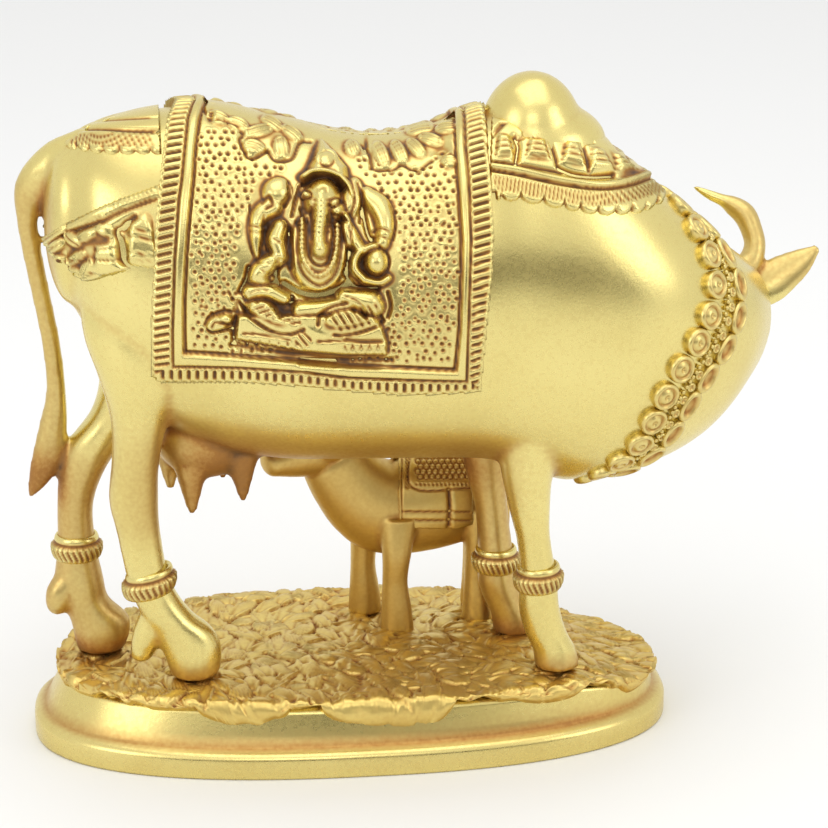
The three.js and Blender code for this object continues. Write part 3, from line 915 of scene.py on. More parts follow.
@dataclass
class CowHead:
    """The head, which looks over the far side: nose along +X before it is set in place."""

    def forms(self) -> list[bpy.types.Object]:
        """The skull, muzzle, horns, ears and eyes."""
        skull = Form(
            (
                (-4, 0, -3, 17, 13),
                (4, 0, -4.5, 21.5, 15),
                (13, 0, -7, 23.5, 17),
                (23, 0, -5, 20, 15.5),
                (33, 0, -2, 14.5, 12),
                (42, 0, -1, 11.5, 10.8),
                (48, 0, -1.5, 8.5, 9),
            ),
            domes=(3, 4),
        )
        parts = [skull.model("skull", 48, 60)]
        for way in (-1, 1):
            horn = Form(
                (
                    (1, way * 12, 4, 4.6, 4.6),
                    (0.5, way * 17.4, 7.5, 3.4, 3.4),
                    (0, way * 19.6, 12, 2.8, 2.8),
                    (0, way * 19.2, 16.5, 2.8, 2.8),
                    (0, way * 17.8, 20.6, 3.0, 3.0),
                    (0, way * 15, 23.3, 2.5, 2.5),
                    (-0.5, way * 12.6, 24.8, 1.6, 1.6),
                    (-1, way * 9.6, 26.3, 1.3, 1.3),
                    (-2, way * 6, 28.4, 0.6, 0.6),
                ),
                side=FORWARD,
                domes=(0, 0.5),
            )
            ear = Form(
                (
                    (4, way * 14, 2, 5, 2.8),
                    (2, way * 21, 2.2, 5.7, 2.5),
                    (1, way * 26.6, 4.7, 4.8, 2.1),
                    (0, way * 31, 7, 3.4, 1.6),
                    (-1, way * 34.8, 9.4, 1.3, 0.8),
                ),
                side=FORWARD,
                domes=(0, 0.8),
            )
            parts += [
                horn.model("horn", 24, 60),
                ear.model("ear", 24, 40),
                blob("eye", (22, way * 14.2, 4.5), (3.4, 3.4, 3.4)),
            ]
        return parts

    def build(self, dresser: Dresser) -> None:
        """Builds the head, sets it in place and dresses it."""
        head = fused("cow_head", self.forms(), 0.5, 5)
        turn = np.array(HEAD_PLACE)
        set_points(head, points_of(head) @ turn[:3, :3].T + turn[:3, 3])
        leave_lacquer(head, 10, 0.5)
        x, y, z = points_of(head).T
        add_brown(head, 0.2 * smoothstep(x, 96, 101) * smoothstep(z, 104, 110))
        dresser.dress(head, Finish.COW, "cow")


# Relief


def soft_max(first: np.ndarray, second: np.ndarray, blend: float) -> np.ndarray:
    """The larger of two heights, rounded where they meet."""
    near = np.clip(blend - np.abs(first - second), 0, None)
    return np.maximum(first, second) + near * near / (4 * blend)


def polyline_distance(u: np.ndarray, v: np.ndarray, path: np.ndarray) -> tuple[np.ndarray, np.ndarray]:
    """Distance of points to a polyline, and the place on it, counted in its corners.

    Args:
        u: The points' first coordinates.
        v: The points' second coordinates.
        path: The polyline's corners; only their first two columns are read.

    Returns:
        The distances and the places.
    """
    best = np.full(u.shape, np.inf)
    place = np.zeros(u.shape)
    for i, (start, end) in enumerate(zip(path[:-1, :2], path[1:, :2])):
        run = end - start
        share = ((u - start[0]) * run[0] + (v - start[1]) * run[1]) / max(run @ run, 1e-9)
        share = np.clip(share, 0, 1)
        away = np.hypot(u - start[0] - share * run[0], v - start[1] - share * run[1])
        closer = away < best
        best = np.where(closer, away, best)
        place = np.where(closer, i + share, place)
    return best, place


def smoothed(path: Rows, steps: int = 6) -> np.ndarray:
    """The path with a smooth curve through its corners."""
    rows = np.asarray(path, float)
    if len(rows) < 3:
        return rows
    return spline(rows, np.linspace(0, 1, (len(rows) - 1) * steps + 1))


def inside_depth(u: np.ndarray, v: np.ndarray, outline: np.ndarray) -> np.ndarray:
    """How deep points lie inside a closed outline, negative outside it."""
    ring = np.vstack([outline, outline[:1]])
    away, _ = polyline_distance(u, v, ring)
    inside = np.zeros(u.shape, bool)
    for (u1, v1), (u2, v2) in zip(ring[:-1], ring[1:]):
        if v1 != v2:
            crosses = (v1 > v) != (v2 > v)
            inside ^= crosses & (u < (u2 - u1) * (v - v1) / (v2 - v1) + u1)
    return np.where(inside, away, -away)


class Relief:
    """Heights over layout points, laid stroke by stroke as a pattern maker works wax."""

    def __init__(self, u: np.ndarray, v: np.ndarray, down: np.ndarray) -> None:
        """Starts a bare ground.

        Args:
            u: Layout coordinate to the right, in layout units.
            v: Layout coordinate downwards.
            down: Way over the skin from the spine, in millimetres.
        """
        self.u, self.v, self.down = u, v, down
        self.height = np.zeros(u.shape)

    def window(self, rows: np.ndarray, margin: float) -> np.ndarray:
        """Numbers of the points round the rows."""
        low, high = rows[:, :2].min(0) - margin, rows[:, :2].max(0) + margin
        return np.flatnonzero(
            (self.u > low[0]) & (self.u < high[0]) & (self.v > low[1]) & (self.v < high[1])
        )

    def dome(
        self, u: float, v: float, half_u: float, half_v: float, base: float, rise: float, turn: float = 0.0
    ) -> None:
        """Lays a rounded pad of half sizes that rises from a base height, turned by degrees."""
        points = self.window(np.array([[u, v]]), max(half_u, half_v))
        spin = math.radians(turn)
        du, dv = self.u[points] - u, self.v[points] - v
        x = (du * math.cos(spin) + dv * math.sin(spin)) / half_u
        y = (dv * math.cos(spin) - du * math.sin(spin)) / half_v
        room = 1 - x * x - y * y
        points, room = points[room > 0], room[room > 0]
        pad = base + rise * np.sqrt(room)
        self.height[points] = soft_max(self.height[points], pad, 0.2)

    def strand(self, path: Rows, base: float) -> None:
        """Lays a rounded strand through rows of u, v, half width and rise."""
        rows = smoothed(path)
        points = self.window(rows, rows[:, 2].max())
        away, place = polyline_distance(self.u[points], self.v[points], rows)
        here = spline(rows[:, 2:4], place / (len(rows) - 1))
        room = 1 - (away / np.maximum(here[:, 0], 0.1)) ** 2
        keep = room > 0
        pad = base + here[keep, 1] * np.sqrt(room[keep])
        self.height[points[keep]] = soft_max(self.height[points[keep]], pad, 0.2)

    def line(self, path: Rows, half: float, depth: float) -> None:
        """Engraves a smooth line, or raises one where depth is negative."""
        rows = smoothed(path)
        points = self.window(rows, half * 2.5)
        away, _ = polyline_distance(self.u[points], self.v[points], rows)
        self.height[points] -= depth * np.exp(-((away / half) ** 2))

    def lines(self, paths: Sequence[Rows], half: float, depth: float) -> None:
        """Engraves several lines alike."""
        for path in paths:
            self.line(path, half, depth)

    def plate(self, outline: Rows, base: float, rise: float, slope: float) -> None:
        """Lays a plate with sides that slope over a width."""
        rows = np.asarray(outline, float)
        points = self.window(rows, 1)
        depth = inside_depth(self.u[points], self.v[points], rows)
        pad = base + rise * smoothstep(depth, 0, slope)
        keep = depth > 0
        self.height[points[keep]] = soft_max(self.height[points[keep]], pad[keep], 0.15)

    def ring(self, u: float, v: float, radius: float, half: float, depth: float) -> None:
        """Engraves a ring."""
        points = self.window(np.array([[u, v]]), radius + half * 2.5)
        away = np.abs(np.hypot(self.u[points] - u, self.v[points] - v) - radius)
        self.height[points] -= depth * np.exp(-((away / half) ** 2))

    def pit(self, u: float, v: float, radius: float, depth: float) -> None:
        """Punches a pit with a faint raised rim."""
        points = self.window(np.array([[u, v]]), radius * 3)
        away = np.hypot(self.u[points] - u, self.v[points] - v) / radius
        self.height[points] += depth * (0.35 * np.exp(-((away - 1.6) ** 2) * 4) - np.exp(-(away**2) * 1.4))

    def hatch(self, path: Rows, reach: float, lean: float, pitch: float, half: float, depth: float) -> None:
        """Engraves short strokes across a path.

        Args:
            path: The path that the strokes start on.
            reach: Their length, in layout units.
            lean: Their lean from straight down, in layout units.
            pitch: Their distance along the path.
            half: Their half width.
            depth: Their depth in millimetres.
        """
        for u, v in along_path(path, pitch):
            self.line([(u, v), (u + lean, v + reach)], half, depth)


def along_path(path: Rows, pitch: float) -> np.ndarray:
    """Points on a smooth path, a pitch apart."""
    rows = smoothed(path)[:, :2]
    runs = np.hypot(*np.diff(rows, axis=0).T)
    reach = np.concatenate([[0], np.cumsum(runs)])
    stops = np.arange(pitch / 2, reach[-1], pitch)
    return np.stack([np.interp(stops, reach, rows[:, k]) for k in (0, 1)], -1)


@dataclass
class ReliefSheet:
    """A thin skin over a part of the trunk, which carries a relief and sinks into the trunk all round."""

    name: str
    shares: tuple[float, float]
    degrees: tuple[float, float]
    grain: float
    far: bool = False
    sunk: float = -1.1
    form: Form | None = None

    def build(self, paint: Callable[[Relief], np.ndarray], upright: float = 0.0) -> bpy.types.Object:
        """Models the sheet.

        Args:
            paint: Lays the relief and returns how deep each point lies inside its outline, in layout
                units, negative outside.
            upright: Height in millimetres above which the relief rises straight towards the view.

        Returns:
            The closed sheet.
        """
        way = -1 if self.far else 1
        samples = np.linspace(*self.shares, 80)
        flank = (self.form or TRUNK).skin(samples, np.full(80, math.pi / 2))
        turns = np.radians(np.linspace(*self.degrees, 80))
        girth = (self.form or TRUNK).skin(np.full(80, np.mean(self.shares)), turns)
        columns, rows = (
            int(np.linalg.norm(np.diff(line, axis=0), axis=1).sum() / self.grain) for line in (flank, girth)
        )
        deselect_all()
        bpy.ops.mesh.primitive_grid_add(x_subdivisions=columns, y_subdivisions=rows, size=2 * MM)
        piece = take_primitive(self.name)
        x, y, _ = points_of(piece).T
        column = np.rint((x + 1) / 2 * columns).astype(int)
        row = np.rint((y + 1) / 2 * rows).astype(int)
        share, angle = np.meshgrid(
            np.linspace(*self.shares, columns + 1),
            np.radians(np.linspace(*self.degrees, rows + 1)) * way,
            indexing="ij",
        )
        skin = (self.form or TRUNK).cover(0.1 + 0.8 * share.ravel(), angle.ravel()).reshape(*share.shape, 3)
        out = unit(np.cross(np.gradient(skin, axis=1), np.gradient(skin, axis=0))) * way
        steps = np.linalg.norm(np.diff(skin, axis=1, prepend=skin[:, :1]), axis=2)
        down = np.cumsum(steps, axis=1)
        ground = skin + out * 1.4
        seen = ground * (1, way, 1) + (0, (way - 1) * -COW_Y, 0)
        u, v = VIEW.layout(seen.reshape(-1, 3))
        relief = Relief(u, v, down.ravel())
        depth = paint(relief)
        height = np.where(depth > 0, relief.height, 0).reshape(share.shape)
        sink = np.clip(-depth / 5, 0, 1).reshape(share.shape)
        height = height * (1 - sink) + self.sunk * sink
        forward = VIEW.axes()[0] * (1, way, 1)
        proud = np.clip(height - upright, 0, None) if upright else np.zeros_like(height)
        places = skin + out * (height - proud)[..., None] + forward * proud[..., None]
        set_points(piece, places[column, row])
        drop = (depth < -9).reshape(share.shape)[column, row]
        with editing(piece):
            bpy.ops.mesh.select_all(action="DESELECT")
            bpy.ops.mesh.select_mode(type="VERT")
            bpy.ops.object.mode_set(mode="OBJECT")
            piece.data.vertices.foreach_set("select", drop)
            bpy.ops.object.mode_set(mode="EDIT")
            bpy.ops.mesh.delete(type="VERT")
            bpy.ops.mesh.select_non_manifold(use_wire=False, use_multi_face=False, use_non_contiguous=False)
            bpy.ops.mesh.extrude_edges_move()
            bpy.ops.mesh.merge(type="CENTER")
            bpy.ops.mesh.select_all(action="SELECT")
            bpy.ops.mesh.normals_make_consistent(inside=False)
        return piece


# The saddle cloth and the seated figure, in layout units

CLOTH_LEFT = (
    # v, outer edge, ladder's inner line, field's edge
    (96, 178, 198, 208),
    (108, 172, 192, 202),
    (120, 167, 188, 199),
    (150, 163, 185, 195),
    (180, 160, 182, 193),
    (200, 158, 179, 191),
    (230, 155, 177, 188),
    (260, 154, 175, 186),
    (300, 152, 174, 184),
    (330, 151, 173, 184),
    (400, 153, 174, 186),
)
CLOTH_RIGHT = (
    # v, field's edge, ladder's inner line, outer edge
    (96, 453, 462, 483),
    (120, 455, 465, 486),
    (150, 456, 466, 488),
    (180, 458, 469, 491),
    (210, 460, 470, 493),
    (240, 462, 471, 494),
    (270, 462, 470, 493),
    (300, 461, 469, 490),
    (330, 460, 468, 487),
    (360, 457, 467, 484),
    (400, 452, 466, 480),
)
CLOTH_FOOT = (
    # u, field's edge, notched band's upper line, lower edge
    (140, 352, 366, 382),
    (190, 353, 366, 382),
    (240, 356, 367, 382),
    (300, 361, 371, 386),
    (350, 366, 377, 391),
    (400, 368, 379, 395),
    (440, 370, 380, 394),
    (500, 372, 381, 390),
)


def column_at(rows: Rows, place: np.ndarray, column: int) -> np.ndarray:
    """One of a table's columns, read between its rows by the first column."""
    table = np.asarray(rows, float)
    return np.interp(place, table[:, 0], table[:, column])


@dataclass
class SaddleCloth:
    """The cloth over the cow's back: notched border, plain ridge and punched field."""

    level: float = 1.3
    rim: float = 2.3
    notch: float = 1.85
    petals: Rows = (
        # u, v, half length, half width, turn
        (217, 117, 13, 7, 20),
        (238, 124, 12, 7, 25),
        (258, 131, 17, 6.5, -12),
        (254, 147, 12, 8, 20),
        (281, 147, 12, 8, 80),
        (272, 123, 13, 6, 30),
        (292, 133, 13, 6, 35),
        (352, 148, 9, 8, 60),
        (381, 154, 15, 7.5, 65),
        (399, 152, 14, 7.5, 62),
        (416, 148, 13, 7, 45),
        (430, 139, 13, 6, 10),
        (420, 129, 15, 6, -12),
        (446, 128, 12, 6, -10),
        (449, 161, 8, 7, 0),
    )

    def ground(self, relief: Relief) -> np.ndarray:
        """Lays the border, the ridge and the field.

        Args:
            relief: The relief to lay on.

        Returns:
            How deep each point lies inside the cloth.
        """
        u, v = relief.u, relief.v
        left, ladder_l, field_l = (column_at(CLOTH_LEFT, v, k) for k in (1, 2, 3))
        field_r, ladder_r, right = (column_at(CLOTH_RIGHT, v, k) for k in (1, 2, 3))
        field_f, band, foot = (column_at(CLOTH_FOOT, u, k) for k in (1, 2, 3))
        depth = np.minimum(np.minimum(u - left, right - u), foot - v)
        in_field = np.minimum(np.minimum(u - field_l, field_r - u), field_f - v)
        in_ridge = np.minimum(np.minimum(u - ladder_l, ladder_r - u), band - v)
        step = smoothstep(-in_field, -1.2, 1.2)
        height = self.level + (self.rim - self.level) * step
        swell = np.sqrt(np.clip(1 - ((in_ridge + in_field) / 9) ** 2, 0, 1))
        height += 0.25 * swell * (in_ridge > 0) * (in_field < 0)
        for line in (in_field, in_ridge):
            height -= 0.75 * np.exp(-((line / 1.5) ** 2))
        across = np.minimum(depth, -in_ridge)
        phase_side = np.abs((relief.down / self.notch) % 1 - 0.5)
        phase_foot = np.abs((u / 8.6) % 1 - 0.5)
        side = np.minimum(u - left, right - u) < foot - v
        stroke = np.where(side, smoothstep(phase_side, 0.2, 0.42), smoothstep(phase_foot, 0.18, 0.42))
        height -= 0.75 * stroke * smoothstep(across, 1.6, 4.5)
        relief.height = height - 0.5 * np.exp(-((depth - 1.5) ** 2))
        return depth

    def punch(self, relief: Relief, bare: Callable[[float, float], bool]) -> None:
        """Punches the field's pits in uneven rows, except where it stays bare."""
        chance = np.random.default_rng(7)
        for row, v0 in enumerate(np.arange(108, 366, 7.4)):
            for u0 in np.arange(194 + (row % 2) * 4.4, 460, 8.8):
                u, v = (np.array([u0, v0]) + chance.normal(0, 1.2, 2)).tolist()
                inside = column_at(CLOTH_LEFT, v, 3) + 4 < u < column_at(CLOTH_RIGHT, v, 1) - 4
                if inside and v < column_at(CLOTH_FOOT, u, 1) - 4 and not bare(u, v):
                    relief.pit(u, v, 2.1 + chance.uniform(-0.4, 0.3), 0.5 + chance.uniform(-0.15, 0.1))

    def spray(self, relief: Relief) -> None:
        """Lays the sprays of petals that hang from the spine."""
        for u, v, long, wide, turn in self.petals:
            relief.dome(u, v, long, wide, self.level - 0.2, 1.3, turn)
            spin = math.radians(turn)
            along = np.array([math.cos(spin), math.sin(spin)])
            aside = np.array([-along[1], along[0]])
            for shift in (-0.34, 0.0, 0.34):
                middle = np.array([u, v]) + aside * wide * shift
                ends = [middle - along * long * 0.62, middle + along * long * 0.66]
                relief.line([tuple(end) for end in ends], 0.9, 0.4)
        relief.lines(
            (
                ((204, 108), (210, 119), (228, 122), (243, 133), (240, 140), (250, 158), (268, 150)),
                ((268, 150), (276, 160), (292, 158), (300, 142), (311, 141)),
                ((362, 143), (369, 152), (374, 168), (392, 169), (402, 164), (416, 170), (432, 160)),
            ),
            1.6,
            0.7,
        )
        for u, v, half_u, half_v in ((366, 144, 3, 6), (441, 148, 10, 7), (211, 115, 3, 5)):
            points = relief.window(np.array([[u, v]]), 3 * max(half_u, half_v))
            away = ((relief.u[points] - u) / half_u) ** 2 + ((relief.v[points] - v) / half_v) ** 2
            relief.height[points] -= 1.1 * np.exp(-away)


@dataclass
class SeatedFigure:
    """The traditional elephant-headed figure that sits on the near side of the cloth."""

    ground: float = 1.0

    def bare(self, u: float, v: float) -> bool:
        """Whether the field is left unpunched here, under and round the figure."""
        body = ((u - 318) / 84) ** 2 + ((v - 262) / 104) ** 2 < 1
        crown = abs(u - 322) < 34 and v < 200
        spray = v < 141 + 0.22 * abs(u - 330) * 0 + 26 * math.exp(-(((u - 275) / 28) ** 2)) + 28 * math.exp(
            -(((u - 400) / 40) ** 2)
        )
        return body or crown or spray and u > 236 or v < 124

    def lay(self, relief: Relief) -> None:
        """Lays the figure from its seat up."""
        self.seat(relief)
        self.arms(relief)
        self.torso(relief)
        self.legs(relief)
        self.head(relief)

    def seat(self, relief: Relief) -> None:
        """The pedestal with its zigzag face, and the small animal beside it."""
        outline = ((236, 312), (234, 340), (300, 352), (345, 356), (388, 356), (389, 342), (384, 326), (376, 312))
        relief.plate(outline, self.ground, 3.0, 5)
        relief.lines((((243, 332), (262, 333), (290, 338)), ((318, 340), (345, 339))), 1.1, 0.7)
        relief.line(((346, 338), (362, 340), (382, 340)), 2.2, 1.0)
        zigzag = [(242 + 4.6 * k, 338 + 0.1 * k + (7 if k % 2 else 0) + k * 0.24) for k in range(13)]
        relief.lines([zigzag[k : k + 2] for k in range(12)], 0.9, 0.5)
        zigzag = [(344 + 4.2 * k, 344 + (8 if k % 2 else 0)) for k in range(11)]
        relief.lines([zigzag[k : k + 2] for k in range(10)], 0.9, 0.5)
        relief.lines((((299, 334), (307, 344)), ((296, 340), (304, 348)), ((303, 331), (311, 339))), 1.2, 0.7)
        relief.line(((232, 346), (270, 352), (300, 356), (345, 361), (392, 361)), 3.5, 1.0)
        relief.line(((300, 362), (318, 363), (335, 364)), 2.6, 1.1)
        relief.line(((306, 371), (340, 377), (400, 379)), 1.4, 0.5)
        relief.dome(217, 323, 13, 8, 0.9, 2.2, -12)
        relief.dome(226, 318, 8, 5, 1.2, 2.2, 10)
        relief.lines(
            (
                ((205, 325), (210, 317), (222, 312), (235, 312)),
                ((207, 329), (212, 333), (222, 331), (232, 330)),
                ((212, 326), (216, 321), (222, 322)),
                ((224, 322), (230, 326)),
            ),
            1.4,
            0.9,
        )
        relief.line(((236, 318), (233, 330), (234, 345)), 2.4, 1.2)
        relief.line(((228, 292), (236, 304), (238, 316)), 1.8, 0.6)

    def arms(self, relief: Relief) -> None:
        """The four arms with their bracelets, and the round sweet in one hand."""
        low = self.ground - 0.6
        relief.strand(((272, 206, 12, 3.2), (258, 218, 9, 3.2), (256, 238, 7.5, 3.0), (257, 256, 3, 2.4)), low)
        relief.strand(((366, 196, 9, 3.4), (380, 208, 12, 3.6), (385, 226, 10, 3.6), (382, 243, 8, 3.0)), low)
        relief.strand(((280, 228, 9, 4.4), (276, 240, 10, 4.8), (279, 252, 9, 4.6)), low)
        relief.strand(((280, 256, 9, 4.6), (266, 266, 10, 4.8), (258, 276, 11, 4.6), (262, 284, 9, 4.0)), low)
        relief.strand(((346, 228, 8, 4.2), (352, 240, 9, 4.4), (358, 248, 8, 4.0)), low)
        relief.strand(((374, 247, 5, 4.2), (358, 254, 5.5, 4.4), (354, 268, 5.5, 4.4), (364, 280, 5, 4.0)), low)
        relief.strand(((364, 280, 5, 4.0), (378, 283, 4.5, 3.8), (388, 278, 4, 3.2)), low)
        relief.dome(376, 262, 12.5, 15, low, 5.2)
        relief.lines(
            (
                ((250, 205), (250, 230), (252, 250), (257, 259)),
                ((264, 216), (263, 235), (261, 250)),
                ((251, 226), (258, 228), (266, 225)),
                ((251, 232), (258, 234), (266, 231)),
                ((268, 222), (265, 238), (268, 250), (274, 257), (282, 260)),
                ((274, 240), (280, 243)),
                ((286, 222), (290, 236), (288, 252), (282, 266)),
                ((258, 262), (270, 264), (280, 268)),
                ((262, 270), (270, 275), (276, 274)),
                ((372, 232), (380, 230), (390, 233)),
                ((371, 238), (380, 238), (389, 240)),
                ((390, 208), (395, 222), (393, 240)),
                ((364, 250), (359, 262), (362, 272)),
            ),
            1.1,
            0.6,
        )
        relief.lines(
            (
                ((252, 284), (262, 286), (276, 283)),
                ((278, 262), (276, 276), (280, 292), (292, 298)),
                ((360, 196), (364, 214), (368, 232), (372, 240)),
                ((352, 250), (347, 262), (348, 278), (358, 288), (378, 288)),
                ((249, 268), (246, 280), (240, 292)),
            ),
            2.6,
            1.5,
        )
        relief.ring(376, 262, 13, 1.2, 0.6)

    def torso(self, relief: Relief) -> None:
        """The round belly with its beaded collar."""
        relief.dome(318, 252, 31, 42, 0.4, 4.6)
        relief.lines((((288, 228), (292, 250), (291, 268)), ((350, 226), (350, 250), (346, 272))), 2.6, 1.0)
        relief.line(((297, 222), (297, 256), (304, 275), (319, 285), (333, 276), (340, 256), (341, 224)), 1.3, 0.8)
        relief.line(((307, 218), (308, 250), (312, 262), (320, 266), (328, 262), (332, 246)), 1.5, 0.8)
        collar = ((302, 218), (302, 252), (308, 268), (319, 276), (330, 268), (336, 250), (337, 226))
        for u, v in along_path(collar, 4.6):
            relief.dome(u, v, 2.3, 2.3, 4.7, 0.7)
            relief.pit(u + 0.4, v + 0.3, 1.0, 0.3)
        relief.line(((284, 284), (300, 293), (318, 296), (336, 291), (348, 284)), 3.2, 2.2)
        relief.line(((276, 297), (288, 303), (306, 304)), 2.2, 1.7)

    def legs(self, relief: Relief) -> None:
        """The crossed legs in striped cloth."""
        relief.strand(((250, 292, 8, 3.6), (268, 291, 8, 4.0), (284, 298, 7, 3.6)), 0.6)
        relief.plate(
            ((241, 303), (250, 296), (263, 294), (273, 298), (284, 312), (299, 318), (301, 326), (292, 331),
             (276, 329), (258, 322), (246, 313)),
            1.0, 4.0, 9,
        )
        relief.strand(((300, 310, 9, 3.0), (330, 306, 8, 3.4), (352, 302, 9, 3.8)), 0.8)
        relief.strand(((344, 297, 9, 4.0), (368, 302, 13, 4.8), (374, 306, 11, 4.6)), 0.8)
        relief.plate(
            ((318, 322), (322, 313), (333, 306), (347, 303), (358, 306), (368, 313), (378, 317), (384, 321),
             (372, 326), (352, 331), (338, 333), (326, 330)),
            1.0, 4.2, 8,
        )
        relief.strand(((306, 326, 6, 3.2), (318, 332, 7, 3.4), (334, 336, 5, 3.0)), 0.8)
        near_leg = [((246 + 7 * k, 307 + 2.6 * k), (258 + 7 * k, 302 + 3.2 * k)) for k in range(7)]
        far_leg = [((330 + 7.5 * k, 313 - 1.4 * k), (341 + 7.0 * k, 329 - 1.6 * k)) for k in range(7)]
        relief.lines(near_leg, 1.1, 0.8)
        relief.lines(far_leg, 1.2, 0.9)
        relief.lines(
            (
                ((240, 304), (252, 317), (272, 330), (290, 333), (304, 328)),
                ((318, 324), (320, 314), (332, 306), (346, 303)),
                ((334, 334), (352, 333), (372, 327), (384, 321)),
                ((388, 292), (391, 306), (388, 318)),
            ),
            1.7,
            1.1,
        )
        relief.lines((((244, 297), (256, 290), (270, 290)), ((345, 296), (356, 300), (366, 310))), 1.0, 0.6)

    def head(self, relief: Relief) -> None:
        """The crown, ears, brow, eyes and trunk."""
        low = self.ground - 0.6
        relief.dome(277, 192, 16, 15, low, 3.6, -20)
        relief.dome(352, 198, 12, 22, low, 3.4, 8)
        relief.lines(
            (
                ((288, 183), (289, 196), (284, 206)),
                ((262, 204), (268, 198), (272, 206), (266, 210)),
                ((349, 190), (354, 202), (350, 216)),
                ((300, 186), (296, 200), (292, 216)),
                ((357, 186), (362, 204), (360, 222)),
            ),
            1.6,
            0.9,
        )
        relief.plate(
            ((316, 136), (323, 136), (337, 150), (351, 166), (354, 182), (346, 190), (302, 184), (301, 172),
             (307, 160)),
            0.6, 4.6, 14,
        )
        relief.dome(326, 163, 12, 11, 3.6, 2.2)
        relief.ring(326, 163, 7.5, 1.0, 0.5)
        relief.dome(326, 162, 4, 4, 5.0, 0.9)
        relief.strand(((303, 179, 3.4, 5.0), (312, 174, 3.4, 5.4), (326, 174, 3.4, 5.6), (340, 179, 3.4, 5.2)), 0.6)
        relief.strand(((340, 179, 3.4, 5.2), (348, 188, 3.2, 4.8), (352, 198, 3, 4.0)), 0.6)
        relief.dome(322, 200, 19, 21, 0.6, 5.4)
        relief.dome(336, 212, 9, 9, 0.6, 4.6)
        relief.strand(
            ((321, 198, 11, 5.8), (321, 214, 10, 6.0), (319, 232, 9, 6.0), (319, 244, 9.5, 6.2)),
            0.8,
        )
        relief.dome(320, 250, 10.5, 12, 1.6, 6.0)
        relief.line(((303, 184), (312, 180), (326, 179), (336, 183), (342, 190)), 1.6, 1.2)
        relief.lines([((313, 202 + 5.2 * k), (321, 205 + 5.2 * k), (329, 202 + 5.2 * k)) for k in range(7)], 1.0, 0.35)
        relief.ring(323, 193, 3.2, 0.8, 0.35)
        for u, v, half_u, half_v, turn in ((306, 197, 4.2, 2.8, 30), (334, 205, 4.8, 3.0, -30)):
            relief.dome(u, v, half_u, half_v, 5.0, 0.9, turn)
            spin = math.radians(turn)
            rim = [
                (
                    u + (half_u + 0.8) * math.cos(a) * math.cos(spin) - (half_v + 0.8) * math.sin(a) * math.sin(spin),
                    v + (half_u + 0.8) * math.cos(a) * math.sin(spin) + (half_v + 0.8) * math.sin(a) * math.cos(spin),
                )
                for a in np.linspace(0, 2 * math.pi, 11)
            ]
            relief.line(rim, 0.8, 0.8)
        relief.strand(((344, 216, 3.5, 4.6), (348, 222, 2.6, 4.4), (350, 232, 1.2, 3.8)), 0.8)
        relief.lines((((331, 216), (338, 218), (344, 215)), ((311, 210), (310, 228), (311, 240))), 1.4, 1.0)
        relief.lines((((331, 222), (333, 236), (331, 244)), ((301, 208), (303, 216), (306, 224))), 1.4, 0.9)


@dataclass
class Rosette:
    """The lotus rosette in the same place on the far side."""

    middle: tuple[float, float] = (322.0, 248.0)

    def lay(self, relief: Relief) -> None:
        """Lays two rings of petals, a boss and a beaded rim."""
        u0, v0 = self.middle
        for count, reach, long, wide, rise in ((16, 52, 20, 8, 1.4), (8, 28, 20, 10, 2.0)):
            for k in range(count):
                turn = 360 * (k + 0.5) / count
                a = math.radians(turn)
                at = (u0 + reach * math.cos(a), v0 + reach * math.sin(a))
                relief.dome(*at, long, wide, 0.9, rise, turn)
                tip = (u0 + (reach + long * 0.7) * math.cos(a), v0 + (reach + long * 0.7) * math.sin(a))
                relief.line((at, tip), 1.0, 0.4)
        relief.dome(u0, v0, 13, 13, 1.6, 1.8)
        relief.ring(u0, v0, 8, 1.2, 0.5)
        for k in range(36):
            a = 2 * math.pi * k / 36
            relief.dome(u0 + 80 * math.cos(a), v0 + 80 * math.sin(a), 4, 4, 1.0, 0.9)

    def bare(self, u: float, v: float) -> bool:
        """Whether the field is left unpunched here, under the rosette."""
        return math.hypot(u - self.middle[0], v - self.middle[1]) < 88 or v < 124


@dataclass
class CowCloth:
    """The saddle cloth on both sides, with the figure on the near side and a rosette on the far side."""

    cloth: SaddleCloth = field(default_factory=SaddleCloth)

    def build(self, dresser: Dresser) -> None:
        """Builds and dresses both halves."""
        for far, motif, grain in ((False, SeatedFigure(), 0.3), (True, Rosette(), 0.42)):

            def paint(relief: Relief, motif: SeatedFigure | Rosette = motif) -> np.ndarray:
                depth = self.cloth.ground(relief)
                self.cloth.punch(relief, motif.bare)
                self.cloth.spray(relief)
                motif.lay(relief)
                return depth

            sheet = ReliefSheet("cloth_far" if far else "cloth_near", (0.12, 0.55), (-2, 122), grain, far)
            piece = sheet.build(paint, upright=2.6)
            leave_lacquer(piece, 16, 0.22)
            dresser.dress(piece, Finish.COW, "cow")


def scalloped(corners: Rows, drop: float) -> list[tuple[float, float]]:
    """An edge of hanging half-rounds between corners, as points."""
    edge = []
    for (u1, v1), (u2, v2) in zip(corners[:-1], corners[1:]):
        for a in np.linspace(0, math.pi, 9)[:-1]:
            share = (1 - math.cos(a)) / 2
            edge.append((u1 + (u2 - u1) * share, v1 + (v2 - v1) * share + drop * math.sin(a)))
    edge.append(tuple(corners[-1]))
    return edge


